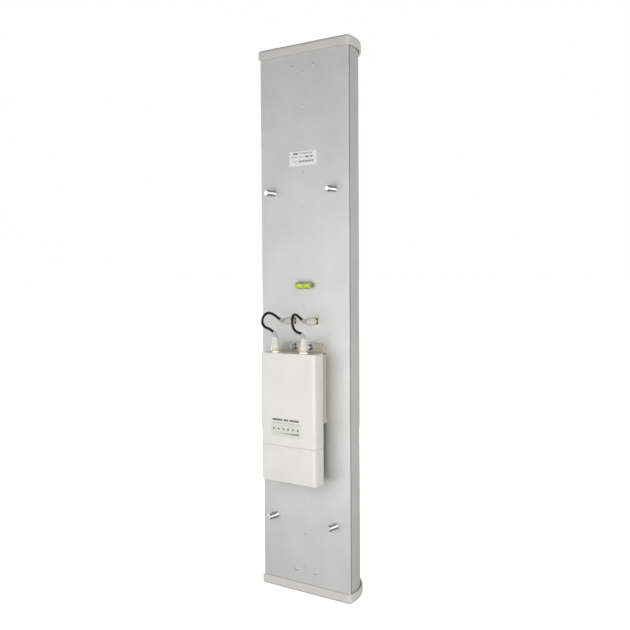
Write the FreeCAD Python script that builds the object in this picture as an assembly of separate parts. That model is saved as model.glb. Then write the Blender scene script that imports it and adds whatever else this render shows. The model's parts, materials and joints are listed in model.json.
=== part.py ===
"""A dual-port sector antenna with its radio unit, seen from the back it is mounted by.

Millimetres. The origin is on the back plate's rear face, at the centre of the four mast studs.
+Z is up, +Y is the way the antenna radiates, and the mast, the radio and the jumpers are on the -Y side.
"""

import FreeCAD, Part
import math
import os

Vector = FreeCAD.Vector
X_AXIS = Vector(1, 0, 0)
Y_AXIS = Vector(0, 1, 0)
Z_AXIS = Vector(0, 0, 1)
LEFT = -1
RIGHT = 1

# Panel
PANEL_MID_Z = 45.0  # the panel's middle, above the centre of the studs
PANEL_LENGTH = 700.0  # over the end caps
PROFILE_LENGTH = 693.0  # the plate and the radome, without the end caps
PLATE_WIDTH = 138.0
PLATE_THICK = 2.4
PLATE_EDGE_RADIUS = 1.2
HOOK_WALL_X = 60.6  # inner face of the rail that holds the radome's lip
HOOK_THICK = 1.6
HOOK_REACH = 5.0
HOOK_HEIGHT = 5.4
RADOME_HALF_WIDTH = 68.7
RADOME_DEPTH = 73.0
RADOME_WALL = 2.2
RADOME_REAR_Y = 4.4
LIP_THICK = 1.6
LIP_INNER_X = 63.4

# End caps
CAP_HALF_WIDTH = 71.4
CAP_DEPTH = 76.0
CAP_REAR_Y = -3.0
CAP_WALL = 2.2
CAP_END_WALL = 3.0
CAP_SKIRT = 12.5
CAP_STRAIGHT_Y = 2.0  # where the sides start to curve
CAP_REAR_RADIUS = 4.5
CAP_EDGE_RADIUS = 3.8
CAP_HOLE_RADIUS = 1.7
CAP_SCREW_RADIUS = 1.5
END_RIVET_X = 16.0
END_RIVET_Z = 321.5  # from the panel's middle
END_RIVET_HEAD_RADIUS = 2.0
END_RIVET_HEAD_HEIGHT = 0.9
END_RIVET_RADIUS = 1.3
CAP_SCREW_Y = 14.0
END_BRACKET_START = 318.3  # from the panel's middle
END_BRACKET_HALF_WIDTH = 25.0
END_BRACKET_DEPTH = 20.0
END_BRACKET_THICK = 2.0

# Radiating elements
ELEMENT_COUNT = 16
ELEMENT_PITCH = 41.9
PATCH_SIDE = 23.0
PATCH_THICK = 0.8
BOARD_THICK = 1.6
FEED_BOARD_WIDTH = 64.0
FEED_BOARD_LENGTH = 635.0
POST_HEIGHT = 4.4
POST_RADIUS = 2.4
ELEMENT_RIVET_RADIUS = 1.1
ELEMENT_HEAD_RADIUS = 1.6
ELEMENT_HEAD_HEIGHT = 0.45

# Mast studs
STUD_SPACING_X = 95.0
STUD_SPACING_Z = 420.0
STUD_RADIUS = 4.0
STUD_LENGTH = 15.0
STUD_SEAT_RADIUS = 4.3
STUD_HEAD_RADIUS = 6.5
STUD_HEAD_THICK = 2.6

# Radio-frequency connectors, the same screw size on the antenna and on the radio
PORT_X = 17.4
PORT_Z = 46.3
FLANGE_SIDE = 12.7
FLANGE_THICK = 1.6
FLANGE_HOLE_X = 8.6
FLANGE_HOLE_Z = 4.8
FLANGE_SCREW_RADIUS = 0.8
FLANGE_SCREW_HEAD_RADIUS = 1.35
BARREL_RADIUS = 3.17
BARREL_LENGTH = 8.5
BARREL_BORE = 2.05
STUB_RADIUS = 3.0
PIN_RADIUS = 0.64

# Jumper fittings, measured from the boot's open end
BOOT_LENGTH = 17.3
BOOT_BASE_RADIUS = 5.75
BOOT_TIP_RADIUS = 3.3
BOOT_BORE = 4.55
BOOT_TIP_WALL = 1.0
NUT_ACROSS_FLATS = 8.0
NUT_CORNER_RADIUS = 4.45
NUT_LENGTH = 6.6
NUT_START = 0.3
FERRULE_RADIUS = 2.6
FERRULE_LENGTH = 7.0
CABLE_RADIUS = 1.65
SLEEVE_RADIUS = 2.6
SLEEVE_BORE = 1.75
SLEEVE_LENGTH = 8.0
ARC_SHARE = 0.45  # of the shorter run, taken by each arc of the cable

# Spirit level
LEVEL_Z = 91.4
LEVEL_X = 3.0  # its middle, off the row of rivets
LEVEL_Y = -5.2
LEVEL_LOBE_RADIUS = 4.5
LEVEL_WAIST_RADIUS = 3.2
LEVEL_HALF_LENGTH = 11.8
LEVEL_BORE = 2.3
LEVEL_BORE_HALF_LENGTH = 10.0
BUBBLE_RADIUS = 2.0
BUBBLE_HALF_LENGTH = 3.2
LEVEL_PLUG_RADIUS = 1.8
LEVEL_PLUG_LENGTH = 1.1
LEVEL_LEG_RADIUS = 0.5
LEVEL_LEG_SPREAD = 1.3  # each leg's distance above or below the level's axis
LEVEL_FOOT_THICK = 0.6

# Rating label
LABEL_Z = 251.5
LABEL_WIDTH = 43.0
LABEL_HEIGHT = 18.2
LABEL_THICK = 0.15

# Radio bracket
BRACKET_HALF_WIDTH = 36.0
BRACKET_TOP_Z = 18.5
BRACKET_BOTTOM_Z = -81.8
BRACKET_BASE = 4.9
BRACKET_TAB_HALF_WIDTH = 33.8
BRACKET_TOP_RADIUS = 8.0
BRACKET_LOW_RADIUS = 4.0
BRACKET_GROOVE_DEPTH = 1.6
BRACKET_GROOVE_Y = (-3.4, -0.7)
BRACKET_GROOVE_Z = (-75.0, 2.5)
RAIL_INNER_X = 33.6
RAIL_LIP_X = 30.6
RAIL_TOP_Z = 5.2
RAIL_NOTCH = 2.6  # the gap in the tab's sides above each rail
RAIL_HEIGHT = 3.5
RAIL_LIP_THICK = 1.3
BRACKET_SCREW_X = 12.2
BRACKET_SCREW_Z = 13.8
BRACKET_SCREW_RADIUS = 2.0
WASHER_RADIUS = 5.2
WASHER_THICK = 0.8
INSERT_RADIUS = 3.2

# Radio housing
RADIO_HALF_WIDTH = 42.8
RADIO_TOP_Z = 7.5
RADIO_BOTTOM_Z = -155.5
RADIO_FRONT_Y = -36.3
RADIO_REAR_Y = -18.6
RADIO_WALL = 2.2
RADIO_EDGE_RADIUS = 4.0
RADIO_SOFT_EDGE = 1.2
SEAM_Z = -109.0  # between the front cover and the port cover
SEAM_GAP = 0.2
PARTING_Y = -21.5  # between the front cover and the gasket
GASKET_THICK = 0.5
GASKET_WIDTH = 1.5
BOSS_NECK_X = 30.2
BOSS_FLANGE_X = 33.2
BOSS_FLANGE_THICK = 1.8
BOSS_REAR_Y = -5.1
BOSS_BULGE_X = 32.6
BULGE_REAR_Y = -5.0
BULGE_BOTTOM_Z = -145.0
SPIGOT_DEPTH = 3.5
SPIGOT_WALL = 1.6
SLIDE_CLEARANCE = 0.3
BOSS_WALL = 2.0

# Radio insides
RADIO_PORT_X = 22.0
RADIO_PORT_Y = -30.2
CIRCUIT_FRONT_Y = -24.9
CIRCUIT_HALF_WIDTH = 33.0
CIRCUIT_TOP_Z = 2.0
CIRCUIT_BOTTOM_Z = -104.0
COVER_POST_RADIUS = 2.8
COVER_SCREW_RADIUS = 1.2
COVER_SCREW_X = 36.2
COVER_SCREW_Z = (-99.0, -3.0)
BOARD_POST_RADIUS = 2.6
BOARD_SCREW_RADIUS = 1.1
BOARD_SCREW_X = 29.5
BOARD_SCREW_Z = (-94.0, -12.0)
SHIELD_HALF_WIDTH = 24.0
SHIELD_HEIGHT = 5.0
SHIELD_WALL = 0.5
SHIELD_Z = (-72.0, -20.0)
JACK_HALF_WIDTH = 8.0
JACK_FRONT_Y = -33.4
JACK_REAR_Y = -22.6
JACK_TOP_Z = -104.0
JACK_BOTTOM_Z = -125.0
SOCKET_HALF_WIDTH = 5.9
SOCKET_FRONT_Y = -31.6
SOCKET_REAR_Y = -24.7
SOCKET_DEPTH = 15.0
RESET_X = 18.0
RESET_Y = -28.0
RESET_RADIUS = 1.5
RESET_TRAVEL = 0.8
SWITCH_Z = -103.5  # the underside of the switch it presses
OUTLET_X = 0.0
OUTLET_Y = -27.6
OUTLET_RADIUS = 5.2
CABLE_HOLE_RADIUS = 3.2
LED_COUNT = 6
LED_FIRST_X = -21.3
LED_PITCH = 7.58
LED_Z = -87.6
LIGHT_PIPE_RADIUS = 1.2
OVERLAY_THICK = 0.2
OVERLAY_X = (-25.0, 21.0)
OVERLAY_Z = (-97.0, -79.0)

# The jumpers' routes, from the antenna-side boot to the radio-side boot
JUMPER_ROUTES = {
    "left": [
        (-17.4, -20.6, 46.3),
        (-17.4, -28.5, 49.5),
        (-20.5, -36.5, 56.0),
        (-22.0, -46.0, 58.5),
        (-24.0, -53.0, 53.0),
        (-25.5, -53.0, 45.0),
        (-26.2, -46.6, 40.0),
        (-26.0, -38.5, 37.7),
        (-23.8, -32.3, 33.4),
        (-22.0, -30.2, 27.0),
    ],
    "right": [
        (17.4, -20.6, 46.3),
        (17.4, -27.8, 49.2),
        (16.0, -35.0, 55.5),
        (16.8, -43.5, 56.8),
        (19.0, -49.3, 51.0),
        (19.8, -49.3, 42.5),
        (19.8, -44.3, 36.4),
        (20.2, -38.9, 34.2),
        (21.5, -33.2, 32.5),
        (22.0, -30.2, 27.0),
    ],
}


# ---- shape helpers ----


def box(x_span, y_span, z_span):
    """A block between two values on each axis."""
    size = [span[1] - span[0] for span in (x_span, y_span, z_span)]
    return Part.makeBox(size[0], size[1], size[2], Vector(x_span[0], y_span[0], z_span[0]))


def rod_y(x, z, radius, y_span):
    """A cylinder along Y."""
    return Part.makeCylinder(radius, y_span[1] - y_span[0], Vector(x, y_span[0], z), Y_AXIS)


def rod_z(x, y, radius, z_span):
    """A cylinder along Z."""
    return Part.makeCylinder(radius, z_span[1] - z_span[0], Vector(x, y, z_span[0]), Z_AXIS)


def hexagon(across_flats, height):
    """A hexagonal prism standing on the XY plane, its axis on Z."""
    radius = across_flats / math.sqrt(3)
    corners = [
        Vector(radius * math.cos(math.radians(angle)), radius * math.sin(math.radians(angle)), 0)
        for angle in range(0, 361, 60)
    ]
    return Part.Face(Part.makePolygon(corners)).extrude(Vector(0, 0, height))


def turned(outline):
    """A solid of revolution about Z, from (radius, height) points of its closed half section."""
    points = [Vector(radius, 0, height) for radius, height in outline]
    face = Part.Face(Part.makePolygon(points + points[:1]))
    return face.revolve(Vector(0, 0, 0), Z_AXIS, 360)


def half_ellipse(half_width, depth, z_span):
    """A prism along Z over the half ellipse y > 0, with its flat side on y = 0."""
    along_x = Vector(half_width, 0, z_span[0])
    along_y = Vector(0, depth, z_span[0])
    long_first = (along_y, along_x) if depth > half_width else (along_x, along_y)
    curve = Part.Ellipse(*long_first, Vector(0, 0, z_span[0]))
    full = Part.Face(Part.Wire(curve.toShape())).extrude(Vector(0, 0, z_span[1] - z_span[0]))
    reach = 2 * max(half_width, depth)
    return full.common(box((-reach, reach), (0, reach), z_span))


def middle_of(edge):
    return edge.valueAt((edge.FirstParameter + edge.LastParameter) / 2)


def edges_where(shape, test):
    """The edges whose middle point passes the test."""
    return [edge for edge in shape.Edges if test(middle_of(edge))]


def edges_along(shape, axis):
    """The straight edges that run along an axis."""
    return [edge for edge in shape.Edges if abs(edge.tangentAt(edge.FirstParameter).dot(axis)) > 0.9]


def cross_recess(half_length, half_width, z_span):
    """The cross that a screwdriver fits, as two blocks."""
    bar = box((-half_length, half_length), (-half_width, half_width), z_span)
    return [bar, bar.rotated(Vector(0, 0, 0), Z_AXIS, 90)]


def at_places(make, places, y):
    """One copy of a shape at every (x, z) place, moved to a height y off the plate."""
    shapes = []
    for x, z in places:
        shape = make()
        shape.translate(Vector(x, y, z))
        shapes.append(shape)
    return Part.makeCompound(shapes)


def joined(shapes):
    """One solid from several that touch."""
    return shapes[0].multiFuse(shapes[1:]).removeSplitter()


def save(name, shape):
    """Writes one sub-part, after checking that it is closed and valid."""
    if not shape.isValid() or shape.Volume <= 0:
        raise ValueError("bad shape: " + name)
    shape.exportStep(os.path.join("parts", name + ".step"))


# ---- places that several sub-parts share ----


def profile_span():
    return (PANEL_MID_Z - PROFILE_LENGTH / 2, PANEL_MID_Z + PROFILE_LENGTH / 2)


def element_heights():
    middle = (ELEMENT_COUNT - 1) / 2
    return [PANEL_MID_Z + (i - middle) * ELEMENT_PITCH for i in range(ELEMENT_COUNT)]


def stud_places():
    return [(i * STUD_SPACING_X / 2, k * STUD_SPACING_Z / 2) for i in (LEFT, RIGHT) for k in (-1, 1)]


def end_rivet_places():
    return [(i * END_RIVET_X, PANEL_MID_Z + k * END_RIVET_Z) for i in (LEFT, RIGHT) for k in (-1, 1)]


def flange_screw_places():
    return [
        (side * PORT_X + i * FLANGE_HOLE_X / 2, PORT_Z + k * FLANGE_HOLE_Z / 2)
        for side in (LEFT, RIGHT)
        for i in (-1, 1)
        for k in (-1, 1)
    ]


def bracket_screw_places():
    return [(side * BRACKET_SCREW_X, BRACKET_SCREW_Z) for side in (LEFT, RIGHT)]


def led_places():
    return [(LED_FIRST_X + i * LED_PITCH, LED_Z) for i in range(LED_COUNT)]


# ---- panel ----


def back_plate():
    """Aluminium extrusion: a flat rear face with a rail on each side of its front face."""
    half = PLATE_WIDTH / 2
    z_span = profile_span()
    shape = box((-half, half), (0, PLATE_THICK), z_span)
    rear_edges = [edge for edge in edges_along(shape, Z_AXIS) if middle_of(edge).y < 0.1]
    shape = shape.makeFillet(PLATE_EDGE_RADIUS, rear_edges)
    for side in (LEFT, RIGHT):
        wall = sorted((side * HOOK_WALL_X, side * (HOOK_WALL_X + HOOK_THICK)))
        shelf = sorted((side * HOOK_WALL_X, side * (HOOK_WALL_X + HOOK_REACH)))
        top = PLATE_THICK + HOOK_HEIGHT
        shape = shape.fuse(box(wall, (PLATE_THICK, top), z_span))
        shape = shape.fuse(box(shelf, (top - HOOK_THICK, top), z_span))
    shape = shape.removeSplitter()
    through = (-1, PLATE_THICK + 1)
    holes = [rod_y(x, z, STUD_SEAT_RADIUS + 0.05, through) for x, z in stud_places()]
    holes += [rod_y(0, z, ELEMENT_RIVET_RADIUS + 0.05, through) for z in element_heights()]
    holes += [rod_y(x, z, END_RIVET_RADIUS + 0.05, through) for x, z in end_rivet_places()]
    holes += [rod_y(side * PORT_X, PORT_Z, STUB_RADIUS + 0.05, through) for side in (LEFT, RIGHT)]
    holes += [rod_y(x, z, FLANGE_SCREW_RADIUS + 0.05, through) for x, z in flange_screw_places()]
    holes += [rod_y(x, z, INSERT_RADIUS + 0.05, through) for x, z in bracket_screw_places()]
    return shape.cut(holes)


def radome():
    """D-shaped extruded cover whose lips turn in behind the plate's rails."""
    z_span = profile_span()
    wide = (-RADOME_HALF_WIDTH - 1, RADOME_HALF_WIDTH + 1)
    outer = half_ellipse(RADOME_HALF_WIDTH, RADOME_DEPTH, z_span)
    outer = outer.cut(box(wide, (-1, RADOME_REAR_Y), z_span))
    inner = half_ellipse(RADOME_HALF_WIDTH - RADOME_WALL, RADOME_DEPTH - RADOME_WALL, z_span)
    inner = inner.cut(box(wide, (-1, RADOME_REAR_Y + LIP_THICK), z_span))
    slot = box((-LIP_INNER_X, LIP_INNER_X), (0, RADOME_REAR_Y + LIP_THICK + 1), z_span)
    return outer.cut([inner, slot])


def cap_outline(inset, z_span):
    """The end cap's section, moved in by a wall: square shoulders behind, half an ellipse in front."""
    half = CAP_HALF_WIDTH - inset
    shoulder = box((-half, half), (CAP_REAR_Y + inset, CAP_STRAIGHT_Y), z_span)
    front = half_ellipse(half, CAP_DEPTH - CAP_STRAIGHT_Y - inset, z_span)
    return joined([shoulder, front.translated(Vector(0, CAP_STRAIGHT_Y, 0))])


def end_cap(end):
    """A cap that slips over one end of the panel; end is 1 for the top and -1 for the bottom."""
    outside = PANEL_LENGTH / 2
    shell = cap_outline(0, (outside - CAP_SKIRT, outside))
    rear_corners = [edge for edge in edges_along(shell, Z_AXIS) if middle_of(edge).y < CAP_REAR_Y + 0.1]
    shell = shell.makeFillet(CAP_REAR_RADIUS, rear_corners)
    rim = edges_where(shell, lambda p: p.z > outside - 0.01)
    shell = shell.makeFillet(CAP_EDGE_RADIUS, rim)
    hollow = cap_outline(CAP_WALL, (outside - CAP_SKIRT - 1, outside - CAP_END_WALL))
    shell = shell.cut(hollow)
    for side in (LEFT, RIGHT):
        shell = shell.cut(rod_z(side * END_RIVET_X, CAP_SCREW_Y, CAP_HOLE_RADIUS, (outside - 5, outside + 1)))
    if end < 0:
        shell = shell.mirror(Vector(0, 0, 0), Z_AXIS)
    shell.translate(Vector(0, 0, PANEL_MID_Z))
    return shell


def end_bracket(end):
    """The angle piece inside each end that the cap is screwed to."""
    top = PROFILE_LENGTH / 2 - 0.5
    half = END_BRACKET_HALF_WIDTH
    thick = END_BRACKET_THICK
    foot = box((-half, half), (PLATE_THICK, PLATE_THICK + thick), (END_BRACKET_START, top))
    upright = box((-half, half), (PLATE_THICK, END_BRACKET_DEPTH), (top - thick, top))
    shape = joined([foot, upright])
    for side in (LEFT, RIGHT):
        x = side * END_RIVET_X
        shape = shape.cut(rod_y(x, END_RIVET_Z, END_RIVET_RADIUS + 0.05, (0, PLATE_THICK + thick + 1)))
        shape = shape.cut(rod_z(x, CAP_SCREW_Y, CAP_SCREW_RADIUS + 0.05, (top - thick - 1, top + 1)))
    if end < 0:
        shape = shape.mirror(Vector(0, 0, 0), Z_AXIS)
    shape.translate(Vector(0, 0, PANEL_MID_Z))
    return shape


def end_cap_screws():
    """Two pan-head screws through each cap's end wall."""
    screws = []
    outside = PANEL_LENGTH / 2
    for end in (-1, 1):
        for side in (LEFT, RIGHT):
            head = turned([(0, 0), (2.8, 0), (2.8, 1.1), (2.0, 1.9), (0, 1.9)])
            shank = rod_z(0, 0, CAP_SCREW_RADIUS, (-9.0, 0))
            screw = joined([head, shank]).cut(cross_recess(2.0, 0.4, (1.2, 2.5)))
            if end < 0:
                screw = screw.mirror(Vector(0, 0, 0), Z_AXIS)
            screw.translate(Vector(side * END_RIVET_X, CAP_SCREW_Y, PANEL_MID_Z + end * outside))
            screws.append(screw)
    return Part.makeCompound(screws)


def rivet(head_radius, head_height, shank_radius, grip, tail_height):
    """A domed rivet along Y, with its head's seat on y = 0 and its head towards -Y."""
    outline = [
        (0, -head_height),
        (head_radius * 0.55, -head_height),
        (head_radius * 0.9, -head_height * 0.55),
        (head_radius, 0),
        (shank_radius, 0),
        (shank_radius, grip),
        (head_radius, grip),
        (head_radius * 0.8, grip + tail_height),
        (0, grip + tail_height),
    ]
    shape = turned(outline)
    shape.rotate(Vector(0, 0, 0), X_AXIS, -90)
    return shape


def end_rivets():
    grip = PLATE_THICK + END_BRACKET_THICK

    def one():
        return rivet(END_RIVET_HEAD_RADIUS, END_RIVET_HEAD_HEIGHT, END_RIVET_RADIUS, grip, 1.2)

    return at_places(one, end_rivet_places(), 0)


def element_rivets():
    grip = PLATE_THICK + BOARD_THICK + POST_HEIGHT + PATCH_THICK

    def one():
        return rivet(ELEMENT_HEAD_RADIUS, ELEMENT_HEAD_HEIGHT, ELEMENT_RIVET_RADIUS, grip, 0.7)

    return at_places(one, [(0, z) for z in element_heights()], 0)


def element_posts():
    start = PLATE_THICK + BOARD_THICK
    posts = []
    for z in element_heights():
        post = rod_y(0, z, POST_RADIUS, (start, start + POST_HEIGHT))
        posts.append(post.cut(rod_y(0, z, ELEMENT_RIVET_RADIUS + 0.05, (0, 20))))
    return Part.makeCompound(posts)


def patch_elements():
    start = PLATE_THICK + BOARD_THICK + POST_HEIGHT
    half = PATCH_SIDE / 2
    patches = []
    for z in element_heights():
        patch = box((-half, half), (start, start + PATCH_THICK), (z - half, z + half))
        patch = patch.makeFillet(2.0, edges_along(patch, Y_AXIS))
        patches.append(patch.cut(rod_y(0, z, ELEMENT_RIVET_RADIUS + 0.05, (0, 20))))
    return Part.makeCompound(patches)


def feed_board():
    """The long printed board that feeds the elements, flat on the plate's front face."""
    half = FEED_BOARD_WIDTH / 2
    z_span = (PANEL_MID_Z - FEED_BOARD_LENGTH / 2, PANEL_MID_Z + FEED_BOARD_LENGTH / 2)
    board = box((-half, half), (PLATE_THICK, PLATE_THICK + BOARD_THICK), z_span)
    holes = [rod_y(0, z, ELEMENT_RIVET_RADIUS + 0.05, (0, 9)) for z in element_heights()]
    holes += [rod_y(side * PORT_X, PORT_Z, PIN_RADIUS + 0.05, (0, 9)) for side in (LEFT, RIGHT)]
    return board.cut(holes)


def mast_stud():
    """A plain shank for an M8 stud, with a thicker knurled seat in the plate and a head inside."""
    outline = [
        (0, -STUD_LENGTH),
        (STUD_RADIUS - 0.8, -STUD_LENGTH),
        (STUD_RADIUS, -STUD_LENGTH + 0.8),
        (STUD_RADIUS, 0),
        (STUD_SEAT_RADIUS, 0),
        (STUD_SEAT_RADIUS, PLATE_THICK),
        (STUD_HEAD_RADIUS, PLATE_THICK),
        (STUD_HEAD_RADIUS, PLATE_THICK + STUD_HEAD_THICK - 0.5),
        (STUD_HEAD_RADIUS - 0.5, PLATE_THICK + STUD_HEAD_THICK),
        (0, PLATE_THICK + STUD_HEAD_THICK),
    ]
    stud = turned(outline)
    stud.rotate(Vector(0, 0, 0), X_AXIS, -90)
    return stud


# ---- antenna connectors ----


def rf_connector(side):
    """Panel connector: a square flange, a barrel towards -Y and a stub through the plate."""
    x = side * PORT_X
    half = FLANGE_SIDE / 2
    flange = box((x - half, x + half), (-FLANGE_THICK, 0), (PORT_Z - half, PORT_Z + half))
    flange = flange.makeFillet(0.8, edges_along(flange, Y_AXIS))
    barrel = rod_y(x, PORT_Z, BARREL_RADIUS, (-FLANGE_THICK - BARREL_LENGTH, -FLANGE_THICK))
    stub = rod_y(x, PORT_Z, STUB_RADIUS, (0, PLATE_THICK))
    shape = joined([flange, barrel, stub])
    shape = shape.cut(rod_y(x, PORT_Z, BARREL_BORE, (-20, 5)))
    for hole_x, hole_z in flange_screw_places():
        shape = shape.cut(rod_y(hole_x, hole_z, FLANGE_SCREW_RADIUS + 0.05, (-5, 1)))
    return shape


def connector_insulators():
    """The plastic sleeve round each antenna connector's centre pin."""
    sleeves = []
    for side in (LEFT, RIGHT):
        sleeve = rod_y(side * PORT_X, PORT_Z, BARREL_BORE - 0.02, (-9.6, PLATE_THICK))
        sleeves.append(sleeve.cut(rod_y(side * PORT_X, PORT_Z, PIN_RADIUS + 0.02, (-12, 4))))
    return Part.makeCompound(sleeves)


def connector_pins():
    """The centre pins, from inside each barrel to the feed board's front face."""
    reach = PLATE_THICK + BOARD_THICK + 0.8
    pins = [rod_y(side * PORT_X, PORT_Z, PIN_RADIUS, (-9.0, reach)) for side in (LEFT, RIGHT)]
    return Part.makeCompound(pins)


def connector_screw():
    """A small socket-head screw for a flange, its head's seat on y = 0."""
    rim = FLANGE_SCREW_HEAD_RADIUS
    head = turned([(0, 0), (rim, 0), (rim, 0.8), (rim - 0.4, 1.3), (0, 1.3)])
    recess = hexagon(1.3, 1.0).translated(Vector(0, 0, 0.7))
    shank = rod_z(0, 0, FLANGE_SCREW_RADIUS, (-FLANGE_THICK - PLATE_THICK + 0.1, 0))
    screw = joined([head, shank]).cut(recess)
    screw.rotate(Vector(0, 0, 0), X_AXIS, 90)
    return screw


# ---- jumpers ----


def tangent_path(points):
    """Straight runs joined by tangent arcs, and the arcs' radii; each arc is as large as its runs allow."""
    corners = [Vector(*point) for point in points]
    edges = []
    radii = []
    start = corners[0]
    for before, corner, after in zip(corners, corners[1:], corners[2:]):
        back = (before - corner).normalize()
        ahead = (after - corner).normalize()
        reach = ARC_SHARE * min((before - corner).Length, (after - corner).Length)
        half_turn = (math.pi - back.getAngle(ahead)) / 2
        radii.append(round(reach / math.tan(half_turn), 1))
        arc_start = corner + back * reach
        arc_end = corner + ahead * reach
        bisector = (back + ahead).normalize()
        centre_distance = reach / math.sin(half_turn)
        middle = corner + bisector * (centre_distance - reach / math.tan(half_turn))
        edges.append(Part.LineSegment(start, arc_start).toShape())
        edges.append(Part.Arc(arc_start, middle, arc_end).toShape())
        start = arc_end
    edges.append(Part.LineSegment(start, corners[-1]).toShape())
    return edges, radii


def tube(edges, radius):
    """A round solid along a path of edges that join end to end."""
    path = Part.Wire(edges)
    first = edges[0]
    start = first.valueAt(first.FirstParameter)
    along = first.tangentAt(first.FirstParameter)
    section = Part.Wire(Part.makeCircle(radius, start, along))
    solid = path.makePipeShell([section], True, True)
    exact = math.pi * radius**2 * path.Length
    if abs(solid.Volume - exact) > 0.01 * exact:
        raise ValueError("the tube's volume is not its section times its length")
    return solid


def jumper_cable(name):
    edges, radii = tangent_path(JUMPER_ROUTES[name])
    print("cable", name, "length, mm:", round(Part.Wire(edges).Length, 1), "radii, mm:", radii)
    return tube(edges, CABLE_RADIUS)


def first_stretch(edges, length):
    """The start of a path, cut off at a length."""
    kept = []
    for edge in edges:
        if edge.Length >= length:
            end = edge.getParameterByLength(length)
            kept.append(edge.Curve.toShape(edge.FirstParameter, end))
            return kept
        kept.append(edge)
        length -= edge.Length
    return kept


def shrink_sleeve(name, at_radio):
    """Heat-shrink sleeve round the cable where it leaves a boot, bent as the cable is."""
    route = JUMPER_ROUTES[name]
    edges, _ = tangent_path(route[::-1] if at_radio else route)
    edges = first_stretch(edges, SLEEVE_LENGTH)
    return tube(edges, SLEEVE_RADIUS).cut(tube(edges, SLEEVE_BORE))


def fitting_place(shape, side, at_radio):
    """Moves a fitting from its own axis, +Z from the boot's open end, to its connector."""
    if at_radio:
        cable_end_z = JUMPER_ROUTES["left"][-1][2]
        shape.translate(Vector(side * RADIO_PORT_X, RADIO_PORT_Y, cable_end_z - BOOT_LENGTH))
        return shape
    cable_end_y = JUMPER_ROUTES["left"][0][1]
    shape.rotate(Vector(0, 0, 0), X_AXIS, 90)
    shape.translate(Vector(side * PORT_X, cable_end_y + BOOT_LENGTH, PORT_Z))
    return shape


def boot():
    """A rubber weather boot: a hollow taper with a closed tip."""
    outline = [
        (BOOT_BORE, 0),
        (BOOT_BASE_RADIUS - 0.3, 0),
        (BOOT_BASE_RADIUS, 0.5),
        (BOOT_BASE_RADIUS, 3.5),
        (BOOT_BASE_RADIUS - 0.5, 7.4),
        (BOOT_TIP_RADIUS + 1.1, 10.4),
        (BOOT_TIP_RADIUS + 0.4, 13.6),
        (BOOT_TIP_RADIUS, BOOT_LENGTH - 0.4),
        (BOOT_TIP_RADIUS - 0.4, BOOT_LENGTH),
        (0, BOOT_LENGTH),
        (0, BOOT_LENGTH - BOOT_TIP_WALL),
        (FERRULE_RADIUS + 0.1, BOOT_LENGTH - BOOT_TIP_WALL),
        (FERRULE_RADIUS + 0.1, 9.0),
        (BOOT_BORE, 7.0),
    ]
    return turned(outline)


def coupling_nut():
    """The plug's hexagonal coupling nut, with a plain bore that clears the barrel."""
    nut = hexagon(NUT_ACROSS_FLATS, NUT_LENGTH)
    chamfered = NUT_CORNER_RADIUS - 0.4
    round_off = turned(
        [
            (0, 0),
            (chamfered, 0),
            (NUT_CORNER_RADIUS, 0.4),
            (NUT_CORNER_RADIUS, NUT_LENGTH - 0.4),
            (chamfered, NUT_LENGTH),
            (0, NUT_LENGTH),
        ]
    )
    nut = nut.common(round_off).cut(rod_z(0, 0, BARREL_RADIUS + 0.08, (-1, NUT_LENGTH + 1)))
    nut.translate(Vector(0, 0, NUT_START))
    return nut


def plug_body():
    """The plug's back shell and crimp ferrule."""
    start = NUT_START + NUT_LENGTH
    end = BOOT_LENGTH - BOOT_TIP_WALL - 0.5
    tapered = FERRULE_RADIUS - 0.4
    outline = [(0, start), (FERRULE_RADIUS, start), (FERRULE_RADIUS, end - 0.5), (tapered, end), (0, end)]
    return turned(outline)


# ---- spirit level ----


def level_vial():
    """Clear two-lobed acrylic body round a straight closed bore."""
    lobe = turned(
        [
            (0, 0.8),
            (LEVEL_WAIST_RADIUS, 0.8),
            (LEVEL_LOBE_RADIUS - 0.3, 3.4),
            (LEVEL_LOBE_RADIUS, 5.0),
            (LEVEL_LOBE_RADIUS, 8.8),
            (LEVEL_LOBE_RADIUS - 0.6, 10.6),
            (LEVEL_PLUG_RADIUS, LEVEL_HALF_LENGTH),
            (0, LEVEL_HALF_LENGTH),
        ]
    )
    other = lobe.mirror(Vector(0, 0, 0), Z_AXIS)
    waist = rod_z(0, 0, LEVEL_WAIST_RADIUS, (-2, 2))
    shape = joined([lobe, other, waist])
    shape = shape.cut(rod_z(0, 0, LEVEL_BORE, (-LEVEL_BORE_HALF_LENGTH, LEVEL_BORE_HALF_LENGTH)))
    return along_level(shape)


def along_level(shape):
    """Turns a shape made about Z to the level's axis, which is along X."""
    shape.rotate(Vector(0, 0, 0), Y_AXIS, 90)
    shape.translate(Vector(LEVEL_X, LEVEL_Y, LEVEL_Z))
    return shape


def level_bubble():
    """The air bubble, as a slim solid that fits the bore with room to slide."""
    middle = BUBBLE_HALF_LENGTH - BUBBLE_RADIUS
    body = rod_z(0, 0, BUBBLE_RADIUS, (-middle, middle))
    ends = [Part.makeSphere(BUBBLE_RADIUS, Vector(0, 0, k * middle)) for k in (-1, 1)]
    return along_level(joined([body] + ends))


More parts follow.
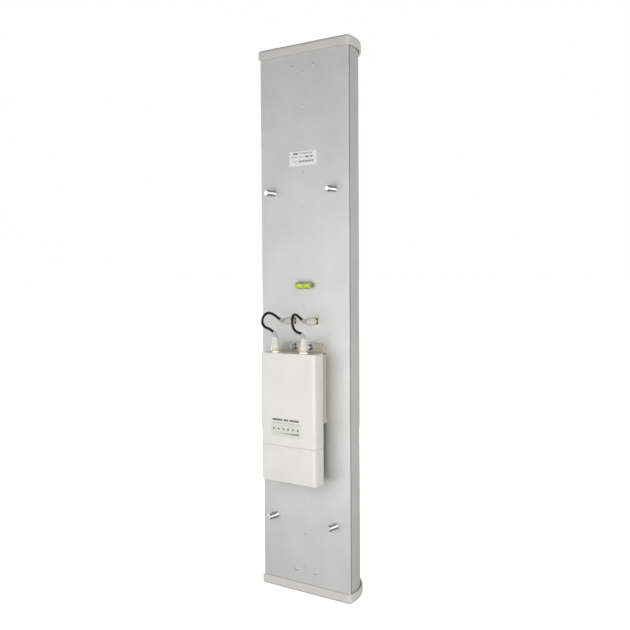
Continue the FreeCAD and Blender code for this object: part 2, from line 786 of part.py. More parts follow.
def level_legs():
    """At each end of the vial, a plug on two thin legs that stand on a small foot."""
    foot_half = LEVEL_LEG_SPREAD + 1.1
    stands = []
    for side in (LEFT, RIGHT):
        x = LEVEL_X + side * (LEVEL_HALF_LENGTH + LEVEL_PLUG_LENGTH / 2)
        plug_start = Vector(x - LEVEL_PLUG_LENGTH / 2, LEVEL_Y, LEVEL_Z)
        plug = Part.makeCylinder(LEVEL_PLUG_RADIUS, LEVEL_PLUG_LENGTH, plug_start, X_AXIS)
        foot_x = (x - 0.9, x + 0.9)
        foot = box(foot_x, (-LEVEL_FOOT_THICK, 0), (LEVEL_Z - foot_half, LEVEL_Z + foot_half))
        leg_y = (LEVEL_Y, -LEVEL_FOOT_THICK / 2)
        leg_places = [LEVEL_Z - LEVEL_LEG_SPREAD, LEVEL_Z + LEVEL_LEG_SPREAD]
        legs = [rod_y(x, z, LEVEL_LEG_RADIUS, leg_y) for z in leg_places]
        stands.append(joined([plug, foot] + legs))
    return Part.makeCompound(stands)


def rating_label():
    half_width = LABEL_WIDTH / 2
    half_height = LABEL_HEIGHT / 2
    z_span = (LABEL_Z - half_height, LABEL_Z + half_height)
    label = box((-half_width, half_width), (-LABEL_THICK, 0), z_span)
    return label.makeFillet(1.0, edges_along(label, Y_AXIS))


# ---- radio bracket ----


def bracket_outline(y_span):
    """The bracket's outline as a block: a rounded tab on top of the wider part that has the rails."""
    tab_x = (-BRACKET_TAB_HALF_WIDTH, BRACKET_TAB_HALF_WIDTH)
    tab = box(tab_x, y_span, (RAIL_TOP_Z, BRACKET_TOP_Z))
    high = [edge for edge in edges_along(tab, Y_AXIS) if middle_of(edge).z > RAIL_TOP_Z + 0.1]
    tab = tab.makeFillet(BRACKET_TOP_RADIUS, high)
    wide = box((-BRACKET_HALF_WIDTH, BRACKET_HALF_WIDTH), y_span, (BRACKET_BOTTOM_Z, RAIL_TOP_Z))
    low = [edge for edge in edges_along(wide, Y_AXIS) if middle_of(edge).z < BRACKET_BOTTOM_Z + 0.1]
    return joined([tab, wide.makeFillet(BRACKET_LOW_RADIUS, low)])


def radio_bracket():
    """Moulded base screwed to the plate, with two lipped rails that the radio slides down into."""
    rail_y = (-BRACKET_BASE - RAIL_HEIGHT, -BRACKET_BASE)
    lip_y = (rail_y[0], rail_y[0] + RAIL_LIP_THICK)
    rail_z = (BRACKET_BOTTOM_Z, RAIL_TOP_Z)
    shapes = [bracket_outline((-BRACKET_BASE, 0))]
    for side in (LEFT, RIGHT):
        wall = sorted((side * RAIL_INNER_X, side * BRACKET_HALF_WIDTH))
        lip = sorted((side * RAIL_LIP_X, side * RAIL_INNER_X))
        shapes.append(box(wall, rail_y, rail_z))
        shapes.append(box(lip, lip_y, rail_z))
    shape = joined(shapes).common(bracket_outline((rail_y[0], 0)))
    holes = [rod_y(x, z, BRACKET_SCREW_RADIUS + 0.25, (-6, 1)) for x, z in bracket_screw_places()]
    for side in (LEFT, RIGHT):
        notch = sorted((side * RAIL_LIP_X, side * (BRACKET_TAB_HALF_WIDTH + 1)))
        holes.append(box(notch, (-BRACKET_BASE - 1, 1), (RAIL_TOP_Z, RAIL_TOP_Z + RAIL_NOTCH)))
    for z in element_heights():
        if BRACKET_BOTTOM_Z < z < BRACKET_TOP_Z:
            holes.append(rod_y(0, z, ELEMENT_HEAD_RADIUS + 0.4, (-ELEMENT_HEAD_HEIGHT - 0.35, 1)))
    return shape.cut(holes + bracket_grooves())


def bracket_grooves():
    """The long groove in each side of the bracket, near the plate."""
    grooves = []
    for side in (LEFT, RIGHT):
        depth = sorted((side * (BRACKET_HALF_WIDTH - BRACKET_GROOVE_DEPTH), side * (BRACKET_HALF_WIDTH + 1)))
        grooves.append(box(depth, BRACKET_GROOVE_Y, BRACKET_GROOVE_Z))
    return grooves


def bracket_screw():
    """A deep cheese-head screw with a cross recess, its head's seat on y = 0."""
    head = turned([(0, 0), (3.7, 0), (3.7, 3.2), (3.0, 4.0), (0, 4.0)])
    shank = rod_z(0, 0, BRACKET_SCREW_RADIUS, (-WASHER_THICK - BRACKET_BASE - PLATE_THICK, 0))
    screw = joined([head, shank]).cut(cross_recess(1.9, 0.45, (2.4, 4.5)))
    screw.rotate(Vector(0, 0, 0), X_AXIS, 90)
    return screw


def bracket_washer():
    washer = rod_y(0, 0, WASHER_RADIUS, (-WASHER_THICK, 0))
    return washer.cut(rod_y(0, 0, BRACKET_SCREW_RADIUS + 0.15, (-WASHER_THICK - 1, 1)))


def bracket_insert():
    """A threaded insert pressed into the plate, flush with both its faces."""
    insert = rod_y(0, 0, INSERT_RADIUS, (0, PLATE_THICK))
    return insert.cut(rod_y(0, 0, BRACKET_SCREW_RADIUS + 0.05, (-1, PLATE_THICK + 1)))


# ---- radio housing ----


def radio_block():
    """The outside of the whole radio, before it is split into covers."""
    half = RADIO_HALF_WIDTH
    block = box((-half, half), (RADIO_FRONT_Y, RADIO_REAR_Y), (RADIO_BOTTOM_Z, RADIO_TOP_Z))
    front = [edge for edge in edges_along(block, Z_AXIS) if middle_of(edge).y < RADIO_FRONT_Y + 0.1]
    block = block.makeFillet(RADIO_EDGE_RADIUS, front)

    def on_an_end(point):
        at_end = point.z > RADIO_TOP_Z - 0.01 or point.z < RADIO_BOTTOM_Z + 0.01
        return at_end and point.y < RADIO_REAR_Y - 0.1

    return block.makeFillet(RADIO_SOFT_EDGE, edges_where(block, on_an_end))


def inner_space(z_span):
    """The room inside the radio's walls."""
    half = RADIO_HALF_WIDTH - RADIO_WALL
    front_y = RADIO_FRONT_Y + RADIO_WALL
    space = box((-half, half), (front_y, PARTING_Y), z_span)
    front = [edge for edge in edges_along(space, Z_AXIS) if middle_of(edge).y < front_y + 0.1]
    return space.makeFillet(RADIO_EDGE_RADIUS - RADIO_WALL, front)


def cover_screw_places():
    return [(side * COVER_SCREW_X, z) for side in (LEFT, RIGHT) for z in COVER_SCREW_Z]


def board_screw_places():
    return [(side * BOARD_SCREW_X, z) for side in (LEFT, RIGHT) for z in BOARD_SCREW_Z]


def port_cover_spigot():
    """The rim under the front cover that the port cover slides over, from below the bottom wall."""
    half = RADIO_HALF_WIDTH - RADIO_WALL - SLIDE_CLEARANCE
    y_span = (RADIO_FRONT_Y + RADIO_WALL + SLIDE_CLEARANCE, PARTING_Y)
    rim = box((-half, half), y_span, (SEAM_Z - SPIGOT_DEPTH, SEAM_Z + 0.5))
    front = [edge for edge in edges_along(rim, Z_AXIS) if middle_of(edge).y < y_span[0] + 0.1]
    rim = rim.makeFillet(1.6, front)
    hollow_x = (-half + SPIGOT_WALL, half - SPIGOT_WALL)
    hollow_y = (y_span[0] + SPIGOT_WALL, y_span[1] - SPIGOT_WALL)
    return rim.cut(box(hollow_x, hollow_y, (SEAM_Z - SPIGOT_DEPTH - 1, SEAM_Z)))


def front_cover():
    """The housing's front, sides, top and bottom wall, with its screw posts and the spigot."""
    reach = RADIO_HALF_WIDTH + 1
    keep = box((-reach, reach), (RADIO_FRONT_Y - 1, PARTING_Y), (SEAM_Z, RADIO_TOP_Z + 1))
    shell = radio_block().common(keep)
    shell = shell.cut(inner_space((SEAM_Z + RADIO_WALL, RADIO_TOP_Z - RADIO_WALL)))
    post_start = RADIO_FRONT_Y + RADIO_WALL - 0.5
    shapes = [shell, port_cover_spigot()]
    holes = []
    for x, z in cover_screw_places():
        web = sorted((x, math.copysign(RADIO_HALF_WIDTH - 1, x)))
        shapes.append(rod_y(x, z, COVER_POST_RADIUS, (post_start, PARTING_Y)))
        shapes.append(box(web, (post_start, PARTING_Y), (z - 1, z + 1)))
        holes.append(rod_y(x, z, COVER_SCREW_RADIUS + 0.1, (post_start + 2, 0)))
    for x, z in board_screw_places():
        shapes.append(rod_y(x, z, BOARD_POST_RADIUS, (post_start, CIRCUIT_FRONT_Y)))
        holes.append(rod_y(x, z, BOARD_SCREW_RADIUS + 0.05, (post_start + 2, 0)))
    jack_x = (-JACK_HALF_WIDTH - 0.2, JACK_HALF_WIDTH + 0.2)
    jack_y = (JACK_FRONT_Y - 0.2, JACK_REAR_Y + 0.2)
    holes.append(box(jack_x, jack_y, (SEAM_Z - 9, SEAM_Z + 9)))
    holes.append(rod_z(RESET_X, RESET_Y, RESET_RADIUS + 0.25, (SEAM_Z - 5, SEAM_Z + 5)))
    for side in (LEFT, RIGHT):
        holes.append(rod_z(side * RADIO_PORT_X, RADIO_PORT_Y, BARREL_RADIUS + 0.08, (0, 12)))
    holes += light_pipe_holes()
    return joined(shapes).cut(holes)


def rear_cover():
    """The housing's rear wall and the T-shaped rail that hangs it in the bracket."""
    reach = RADIO_HALF_WIDTH + 1
    keep = box((-reach, reach), (PARTING_Y + GASKET_THICK, RADIO_REAR_Y), (SEAM_Z, RADIO_TOP_Z + 1))
    plate = radio_block().common(keep)
    flange_y = (BOSS_REAR_Y - BOSS_FLANGE_THICK, BOSS_REAR_Y)
    rail_z = (SEAM_Z, RADIO_TOP_Z - 0.2)
    neck = box((-BOSS_NECK_X, BOSS_NECK_X), (RADIO_REAR_Y - 0.5, flange_y[1]), rail_z)
    flange = box((-BOSS_FLANGE_X, BOSS_FLANGE_X), flange_y, rail_z)
    stop_y = (RADIO_REAR_Y - 0.5, flange_y[0] + 0.5)
    stop = box((-RAIL_INNER_X, RAIL_INNER_X), stop_y, (RAIL_TOP_Z + 0.1, rail_z[1]))
    shape = joined([plate, neck, flange, stop])
    hollow_x = (-BOSS_NECK_X + BOSS_WALL, BOSS_NECK_X - BOSS_WALL)
    hollow_z = (SEAM_Z + BOSS_WALL, rail_z[1] - BOSS_WALL)
    holes = [box(hollow_x, (PARTING_Y, BOSS_REAR_Y - BOSS_WALL), hollow_z)]
    holes += [rod_y(x, z, COVER_SCREW_RADIUS + 0.2, (PARTING_Y, 0)) for x, z in cover_screw_places()]
    return shape.cut(holes)


def housing_gasket():
    """A thin flat seal between the two covers."""
    half = RADIO_HALF_WIDTH - 0.5
    y_span = (PARTING_Y, PARTING_Y + GASKET_THICK)
    ring = box((-half, half), y_span, (SEAM_Z + 0.5, RADIO_TOP_Z - 0.5))
    inner = half - GASKET_WIDTH
    inner_z = (SEAM_Z + 0.5 + GASKET_WIDTH, RADIO_TOP_Z - 0.5 - GASKET_WIDTH)
    return ring.cut(box((-inner, inner), y_span, inner_z))


def port_cover():
    """The cover that slides down off the radio's lower end, with a round outlet for a cable grommet."""
    top = SEAM_Z - SEAM_GAP
    reach = RADIO_HALF_WIDTH + 1
    keep = box((-reach, reach), (RADIO_FRONT_Y - 1, RADIO_REAR_Y + 1), (RADIO_BOTTOM_Z - 1, top))
    shell = radio_block().common(keep)
    bulge = box((-BOSS_BULGE_X, BOSS_BULGE_X), (RADIO_REAR_Y - 0.5, BULGE_REAR_Y), (BULGE_BOTTOM_Z, top))
    low = edges_where(bulge, lambda p: p.z < BULGE_BOTTOM_Z + 0.1 and p.y > BULGE_REAR_Y - 0.1)
    bulge = bulge.makeChamfer(6.0, low)
    shape = joined([shell, bulge])
    shape = shape.cut(inner_space((RADIO_BOTTOM_Z + RADIO_WALL, top + 1)))
    pocket_x = (-BOSS_BULGE_X + BOSS_WALL, BOSS_BULGE_X - BOSS_WALL)
    pocket_y = (RADIO_REAR_Y - 0.1, BULGE_REAR_Y - BOSS_WALL)
    shape = shape.cut(box(pocket_x, pocket_y, (BULGE_BOTTOM_Z + 8, top + 1)))
    return shape.cut(rod_z(OUTLET_X, OUTLET_Y, OUTLET_RADIUS, (RADIO_BOTTOM_Z - 1, RADIO_BOTTOM_Z + 4)))


def cable_grommet():
    """Rubber ring in the port cover's outlet, grooved to grip the wall."""
    groove = OUTLET_RADIUS - 0.1
    rim = OUTLET_RADIUS + 0.8
    wall_low = RADIO_BOTTOM_Z - 0.1
    wall_high = RADIO_BOTTOM_Z + RADIO_WALL + 0.1
    ring = turned(
        [
            (CABLE_HOLE_RADIUS, wall_low - 1.0),
            (rim - 0.5, wall_low - 1.0),
            (rim, wall_low - 0.5),
            (rim, wall_low),
            (groove, wall_low),
            (groove, wall_high),
            (rim, wall_high),
            (rim, wall_high + 1.0),
            (CABLE_HOLE_RADIUS, wall_high + 1.0),
        ]
    )
    ring.translate(Vector(OUTLET_X, OUTLET_Y, 0))
    return ring


def cover_screw():
    """A small pan-head screw with a cross recess, its head's seat on y = 0 and its head towards +Y."""
    head = turned([(0, 0), (2.4, 0), (2.4, 0.9), (1.7, 1.6), (0, 1.6)])
    screw = joined([head, rod_z(0, 0, COVER_SCREW_RADIUS, (-9.0, 0))])
    screw = screw.cut(cross_recess(1.4, 0.35, (0.9, 2.5)))
    screw.rotate(Vector(0, 0, 0), X_AXIS, -90)
    return screw


# ---- radio insides ----


def circuit_board():
    """The radio's board, with its main chips and the reset switch."""
    rear = CIRCUIT_FRONT_Y + BOARD_THICK
    half = CIRCUIT_HALF_WIDTH
    board = box((-half, half), (CIRCUIT_FRONT_Y, rear), (CIRCUIT_BOTTOM_Z, CIRCUIT_TOP_Z))
    chip_y = (rear, rear + 1.0)
    processor = box((-9, 9), chip_y, (-58, -40))
    memory = box((-20, -8), chip_y, (-84, -72))
    supply = box((8, 14), chip_y, (-84, -76))
    switch = box((RESET_X - 2.5, RESET_X + 2.5), (-30.5, CIRCUIT_FRONT_Y), (SWITCH_Z, SWITCH_Z + 4.0))
    shape = joined([board, processor, memory, supply, switch])
    return shape.cut([rod_y(x, z, BOARD_SCREW_RADIUS + 0.15, (-26, -20)) for x, z in board_screw_places()])


def board_screw():
    """A small pan-head screw, its head's seat on y = 0 and its head towards +Y."""
    head = turned([(0, 0), (2.2, 0), (2.2, 0.8), (1.6, 1.3), (0, 1.3)])
    screw = joined([head, rod_z(0, 0, BOARD_SCREW_RADIUS, (-6.0, 0))])
    screw.rotate(Vector(0, 0, 0), X_AXIS, -90)
    return screw


def rf_shield():
    """The pressed-metal can over the radio stages."""
    half = SHIELD_HALF_WIDTH
    wall = SHIELD_WALL
    front_y = CIRCUIT_FRONT_Y - SHIELD_HEIGHT
    can = box((-half, half), (front_y, CIRCUIT_FRONT_Y), SHIELD_Z)
    inner_z = (SHIELD_Z[0] + wall, SHIELD_Z[1] - wall)
    return can.cut(box((-half + wall, half - wall), (front_y + wall, CIRCUIT_FRONT_Y), inner_z))


def ethernet_jack():
    """The jack that faces down into the port cover, with its socket and latch groove."""
    z_span = (JACK_BOTTOM_Z, JACK_TOP_Z - 0.2)
    body = box((-JACK_HALF_WIDTH, JACK_HALF_WIDTH), (JACK_FRONT_Y, JACK_REAR_Y), z_span)
    socket_z = (JACK_BOTTOM_Z - 1, JACK_BOTTOM_Z + SOCKET_DEPTH)
    socket = box((-SOCKET_HALF_WIDTH, SOCKET_HALF_WIDTH), (SOCKET_FRONT_Y, SOCKET_REAR_Y), socket_z)
    latch = box((-3.0, 3.0), (SOCKET_FRONT_Y - 1.0, SOCKET_FRONT_Y), socket_z)
    return body.cut([socket, latch])


def reset_button():
    """A small plunger held in the bottom wall by its collar; it is pushed up against the switch."""
    collar_z = SEAM_Z + RADIO_WALL + 0.05
    stem = rod_z(RESET_X, RESET_Y, RESET_RADIUS, (SEAM_Z - SPIGOT_DEPTH - 1.0, SWITCH_Z - RESET_TRAVEL))
    collar = rod_z(RESET_X, RESET_Y, 2.4, (collar_z, collar_z + 1.0))
    return joined([stem, collar])


def light_pipe_holes():
    through = (RADIO_FRONT_Y - 1, RADIO_FRONT_Y + RADIO_WALL + 1)
    return [rod_y(x, z, LIGHT_PIPE_RADIUS + 0.1, through) for x, z in led_places()]


def light_pipes():
    y_span = (RADIO_FRONT_Y - OVERLAY_THICK, CIRCUIT_FRONT_Y)
    return Part.makeCompound([rod_y(x, z, LIGHT_PIPE_RADIUS, y_span) for x, z in led_places()])


def graphic_overlay():
    """The thin printed film round the six indicator lights."""
    film = box(OVERLAY_X, (RADIO_FRONT_Y - OVERLAY_THICK, RADIO_FRONT_Y), OVERLAY_Z)
    film = film.makeFillet(2.0, edges_along(film, Y_AXIS))
    return film.cut(light_pipe_holes())


def radio_connector(side):
    """The radio's edge-mounted connector: a block on the board and a barrel up through the top wall."""
    x = side * RADIO_PORT_X
    inside_z = RADIO_TOP_Z - RADIO_WALL
    barrel = rod_z(x, RADIO_PORT_Y, BARREL_RADIUS, (inside_z - 3, RADIO_TOP_Z + BARREL_LENGTH + 0.5))
    collar = hexagon(7.6, 2.4).translated(Vector(x, RADIO_PORT_Y, inside_z - 2.4))
    block = box((x - 3.6, x + 3.6), (-33.0, CIRCUIT_FRONT_Y), (-8, inside_z - 2.4))
    shape = joined([barrel, collar, block])
    return shape.cut(rod_z(x, RADIO_PORT_Y, BARREL_BORE, (RADIO_TOP_Z + 1, RADIO_TOP_Z + 11)))


def radio_connector_nuts():
    """The thin nuts that clamp the radio's connectors to its top wall."""
    nuts = []
    for side in (LEFT, RIGHT):
        nut = hexagon(9.5, 2.0).cut(rod_z(0, 0, BARREL_RADIUS + 0.05, (-1, 5)))
        nut.translate(Vector(side * RADIO_PORT_X, RADIO_PORT_Y, RADIO_TOP_Z))
        nuts.append(nut)
    return Part.makeCompound(nuts)


# ---- the whole part ----

SUB_PARTS = {
    "back_plate": back_plate,
    "radome": radome,
    "top_end_cap": lambda: end_cap(1),
    "bottom_end_cap": lambda: end_cap(-1),
    "top_end_bracket": lambda: end_bracket(1),
    "bottom_end_bracket": lambda: end_bracket(-1),
    "end_cap_screws": end_cap_screws,
    "end_rivets": end_rivets,
    "element_rivets": element_rivets,
    "element_posts": element_posts,
    "patch_elements": patch_elements,
    "feed_board": feed_board,
    "mast_studs": lambda: at_places(mast_stud, stud_places(), 0),
    "rf_connector_left": lambda: rf_connector(LEFT),
    "rf_connector_right": lambda: rf_connector(RIGHT),
    "connector_insulators": connector_insulators,
    "connector_pins": connector_pins,
    "connector_screws": lambda: at_places(connector_screw, flange_screw_places(), -FLANGE_THICK),
    "level_vial": level_vial,
    "level_bubble": level_bubble,
    "level_legs": level_legs,
    "rating_label": rating_label,
    "radio_bracket": radio_bracket,
    "bracket_screws": lambda: at_places(bracket_screw, bracket_screw_places(), -BRACKET_BASE - WASHER_THICK),
    "bracket_washers": lambda: at_places(bracket_washer, bracket_screw_places(), -BRACKET_BASE),
    "bracket_inserts": lambda: at_places(bracket_insert, bracket_screw_places(), 0),
    "front_cover": front_cover,
    "rear_cover": rear_cover,
    "housing_gasket": housing_gasket,
    "port_cover": port_cover,
    "cable_grommet": cable_grommet,
    "cover_screws": lambda: at_places(cover_screw, cover_screw_places(), RADIO_REAR_Y),
    "circuit_board": circuit_board,
    "board_screws": lambda: at_places(board_screw, board_screw_places(), CIRCUIT_FRONT_Y + BOARD_THICK),
    "rf_shield": rf_shield,
    "ethernet_jack": ethernet_jack,
    "reset_button": reset_button,
    "light_pipes": light_pipes,
    "graphic_overlay": graphic_overlay,
    "radio_connector_left": lambda: radio_connector(LEFT),
    "radio_connector_right": lambda: radio_connector(RIGHT),
    "radio_connector_nuts": radio_connector_nuts,
    "jumper_cable_left": lambda: jumper_cable("left"),
    "jumper_cable_right": lambda: jumper_cable("right"),
}


def main():
    os.makedirs("parts", exist_ok=True)
    for name, make in SUB_PARTS.items():
        save(name, make())
    for side, side_name in ((LEFT, "left"), (RIGHT, "right")):
        for at_radio, end_name in ((False, "antenna"), (True, "radio")):
            ending = "_" + end_name + "_" + side_name
            save("boot" + ending, fitting_place(boot(), side, at_radio))
            save("plug" + ending, fitting_place(plug_body(), side, at_radio))
            save("sleeve" + ending, shrink_sleeve(side_name, at_radio))
    places = [(side, at_radio) for side in (LEFT, RIGHT) for at_radio in (False, True)]
    save("coupling_nuts", Part.makeCompound([fitting_place(coupling_nut(), *place) for place in places]))


main()
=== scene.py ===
"""The looks of the sector antenna with its radio unit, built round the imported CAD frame.

Metres, in the CAD frame: +Z is up and the mast side, with the radio and the jumpers, faces -Y.
"""

import itertools
import json
import math

import bmesh
import bpy
from mathutils import Matrix, Vector


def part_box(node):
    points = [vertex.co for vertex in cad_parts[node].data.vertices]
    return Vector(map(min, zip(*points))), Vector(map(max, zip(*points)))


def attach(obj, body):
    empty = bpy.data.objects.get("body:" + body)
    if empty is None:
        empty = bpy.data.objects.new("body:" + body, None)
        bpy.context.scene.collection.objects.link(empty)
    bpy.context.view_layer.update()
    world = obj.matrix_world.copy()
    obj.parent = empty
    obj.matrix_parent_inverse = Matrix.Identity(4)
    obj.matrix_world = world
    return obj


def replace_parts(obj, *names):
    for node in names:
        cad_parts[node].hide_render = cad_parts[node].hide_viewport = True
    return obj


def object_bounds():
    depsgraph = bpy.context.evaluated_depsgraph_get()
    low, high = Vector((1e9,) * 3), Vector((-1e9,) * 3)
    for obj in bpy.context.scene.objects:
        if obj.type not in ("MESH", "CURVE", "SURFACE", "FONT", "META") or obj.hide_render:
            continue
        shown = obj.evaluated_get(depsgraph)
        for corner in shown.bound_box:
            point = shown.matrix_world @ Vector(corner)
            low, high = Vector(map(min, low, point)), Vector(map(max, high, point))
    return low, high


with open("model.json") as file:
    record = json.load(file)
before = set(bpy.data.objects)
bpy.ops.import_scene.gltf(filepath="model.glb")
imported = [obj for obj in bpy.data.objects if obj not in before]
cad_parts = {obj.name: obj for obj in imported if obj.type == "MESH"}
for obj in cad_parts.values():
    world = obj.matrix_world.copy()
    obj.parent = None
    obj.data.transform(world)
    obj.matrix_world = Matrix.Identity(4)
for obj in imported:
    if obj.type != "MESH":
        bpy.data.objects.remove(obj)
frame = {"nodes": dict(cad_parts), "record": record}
cad_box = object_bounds()
scene = bpy.context.scene

MM = 0.001
X_AXIS = Vector((1, 0, 0))
Y_AXIS = Vector((0, 1, 0))
Z_AXIS = Vector((0, 0, 1))
PANEL = "antenna"  # the body that everything fixed belongs to

# Camera, seen from the panel's middle
CAMERA_AZIMUTH = math.radians(36.545)
CAMERA_ELEVATION = math.radians(2.665)
CAMERA_ROLL = math.radians(-0.36)
CAMERA_DISTANCE = 1.12145
CAMERA_ASIDE = 0.01383
CAMERA_RAISED = 0.00873
CAMERA_LENS = 50.41

# Studio: soft lights as (place, target, size, watts)
PANEL_MIDDLE = (0, 0, 0.045)
LIGHTS = {
    "key": ((0.02, -0.52, -0.03), PANEL_MIDDLE, 0.6, 2.5),
    "side": ((0.60, -0.14, -0.03), (0.04, -0.02, -0.03), 0.3, 0.75),
    "front": ((-0.95, 0.75, 0.15), PANEL_MIDDLE, 0.8, 13),
}
# Tones by height, from straight down at 0 to straight up at 1
FILLING_TONES = [(0.0, 0.60), (0.40, 0.75), (0.46, 0.95), (0.60, 0.90), (0.75, 0.50), (1.0, 0.40)]
MIRRORED_TONES = [(0.0, 0.06), (0.33, 0.10), (0.39, 1.0), (0.60, 1.0), (0.66, 0.25), (1.0, 0.05)]
FILLING_SIDEWAYS = (-0.5, 1.0)  # the directions' X, between which the filling light grows
FILLING_STRENGTHS = (0.16, 0.98)
MIRRORED_STRENGTH = 1.25
FLOOR_HALF = 40.0
FLOOR_DROP = 1.0 * MM

# Jumpers: the routes of their centre lines, from the antenna's boot to the radio's
CABLE_RADIUS = 1.65 * MM
JUMPER_ROUTES = {
    "left": [
        (-0.0174, -0.0206, 0.0463),
        (-0.0174, -0.0285, 0.0495),
        (-0.0205, -0.0365, 0.0560),
        (-0.0220, -0.0460, 0.0585),
        (-0.0240, -0.0530, 0.0530),
        (-0.0255, -0.0530, 0.0450),
        (-0.0262, -0.0466, 0.0400),
        (-0.0260, -0.0385, 0.0377),
        (-0.0238, -0.0323, 0.0334),
        (-0.0220, -0.0302, 0.0270),
    ],
    "right": [
        (0.0174, -0.0206, 0.0463),
        (0.0174, -0.0278, 0.0492),
        (0.0160, -0.0350, 0.0555),
        (0.0168, -0.0435, 0.0568),
        (0.0190, -0.0493, 0.0510),
        (0.0198, -0.0493, 0.0425),
        (0.0198, -0.0443, 0.0364),
        (0.0202, -0.0389, 0.0342),
        (0.0215, -0.0332, 0.0325),
        (0.0220, -0.0302, 0.0270),
    ],
}
SLEEVE_LENGTH = 8.0 * MM
SLEEVE_RADIUS = 2.6 * MM
SLEEVE_GAP = 0.02 * MM  # between the cable and the sleeve's bore
BOOT_LENGTH = 17.3 * MM
BOOT_OUTLINE = [  # (height from the open end, radius), mm
    (6.8, 4.6),
    (0.3, 4.6),
    (0.0, 5.0),
    (0.0, 5.4),
    (0.5, 5.75),
    (1.5, 5.55),
    (2.2, 5.7),
    (3.4, 5.7),
    (5.2, 5.5),
    (7.4, 5.25),
    (9.0, 4.8),
    (10.4, 4.4),
    (13.6, 3.68),
    (16.4, 3.32),
    (17.1, 3.2),
    (17.3, 2.7),
    (17.3, 1.3),
    (16.4, 1.3),
    (16.3, 2.7),
    (9.0, 2.7),
    (6.8, 4.6),
]

# Mast studs
STUD_RADIUS = 4.0 * MM
STUD_PITCH = 1.25 * MM
STUD_CHAMFER = 1.1 * MM
THREAD_DEPTH = 0.4 * MM
THREAD_STEEPNESS = 1.25  # over 1, which leaves the crests flat
SEAT_RADIUS = 4.3 * MM
HEAD_RADIUS = 6.5 * MM
HEAD_START = 2.4 * MM  # the plate's thickness
HEAD_CHAMFER = 0.5 * MM
STUD_SEGMENTS = 48
RINGS_PER_TURN = 10

# Spirit level
VIAL_WAIST = 3.2 * MM
VIAL_BORE = 2.3 * MM
VIAL_BORE_HALF = 10.0 * MM

# Printing
INK_THICKNESS = 0.03 * MM
LABEL_MARGIN = 3.0 * MM  # at its left edge
# A row of bars is (bottom under the upper edge, height, bar widths, gap), mm
LABEL_ROWS = [  # (ink, left, right, row), mm right of the margin
    ("bold", 2.5, 11.0, (4.0, 2.2, [8.5], 1.0)),
    ("light", 13.0, 34.0, (3.5, 1.5, [3.6, 5.0], 1.0)),
    ("light", 0.0, 9.5, (8.0, 1.4, [4.2, 4.0], 1.0)),
    ("light", 12.0, 19.0, (8.0, 1.4, [2.8], 1.0)),
    ("bold", 21.5, 36.0, (8.3, 2.1, [6.2, 5.4], 1.2)),
    ("light", 2.0, 8.5, (13.6, 1.2, [2.9], 0.7)),
    ("bold", 11.5, 35.0, (14.2, 2.8, [1.4, 2.1], 0.6)),
]
OVERLAY_MARGINS = (1.5 * MM, 2.5 * MM)  # left and right
MARK_ROW = (-1.4, 2.6, [16.0, 8.0, 16.0], 1.6)
FINE_ROW = (1.9, 0.8, [2.6, 1.7], 0.9)
STRIPE_INDENT = 10.0 * MM
STRIPE_RAISED = 4.0 * MM  # its middle line, over the film's lower edge
STRIPE_TIP = 0.1 * MM
STRIPE_GROWTH = 1.2 * MM

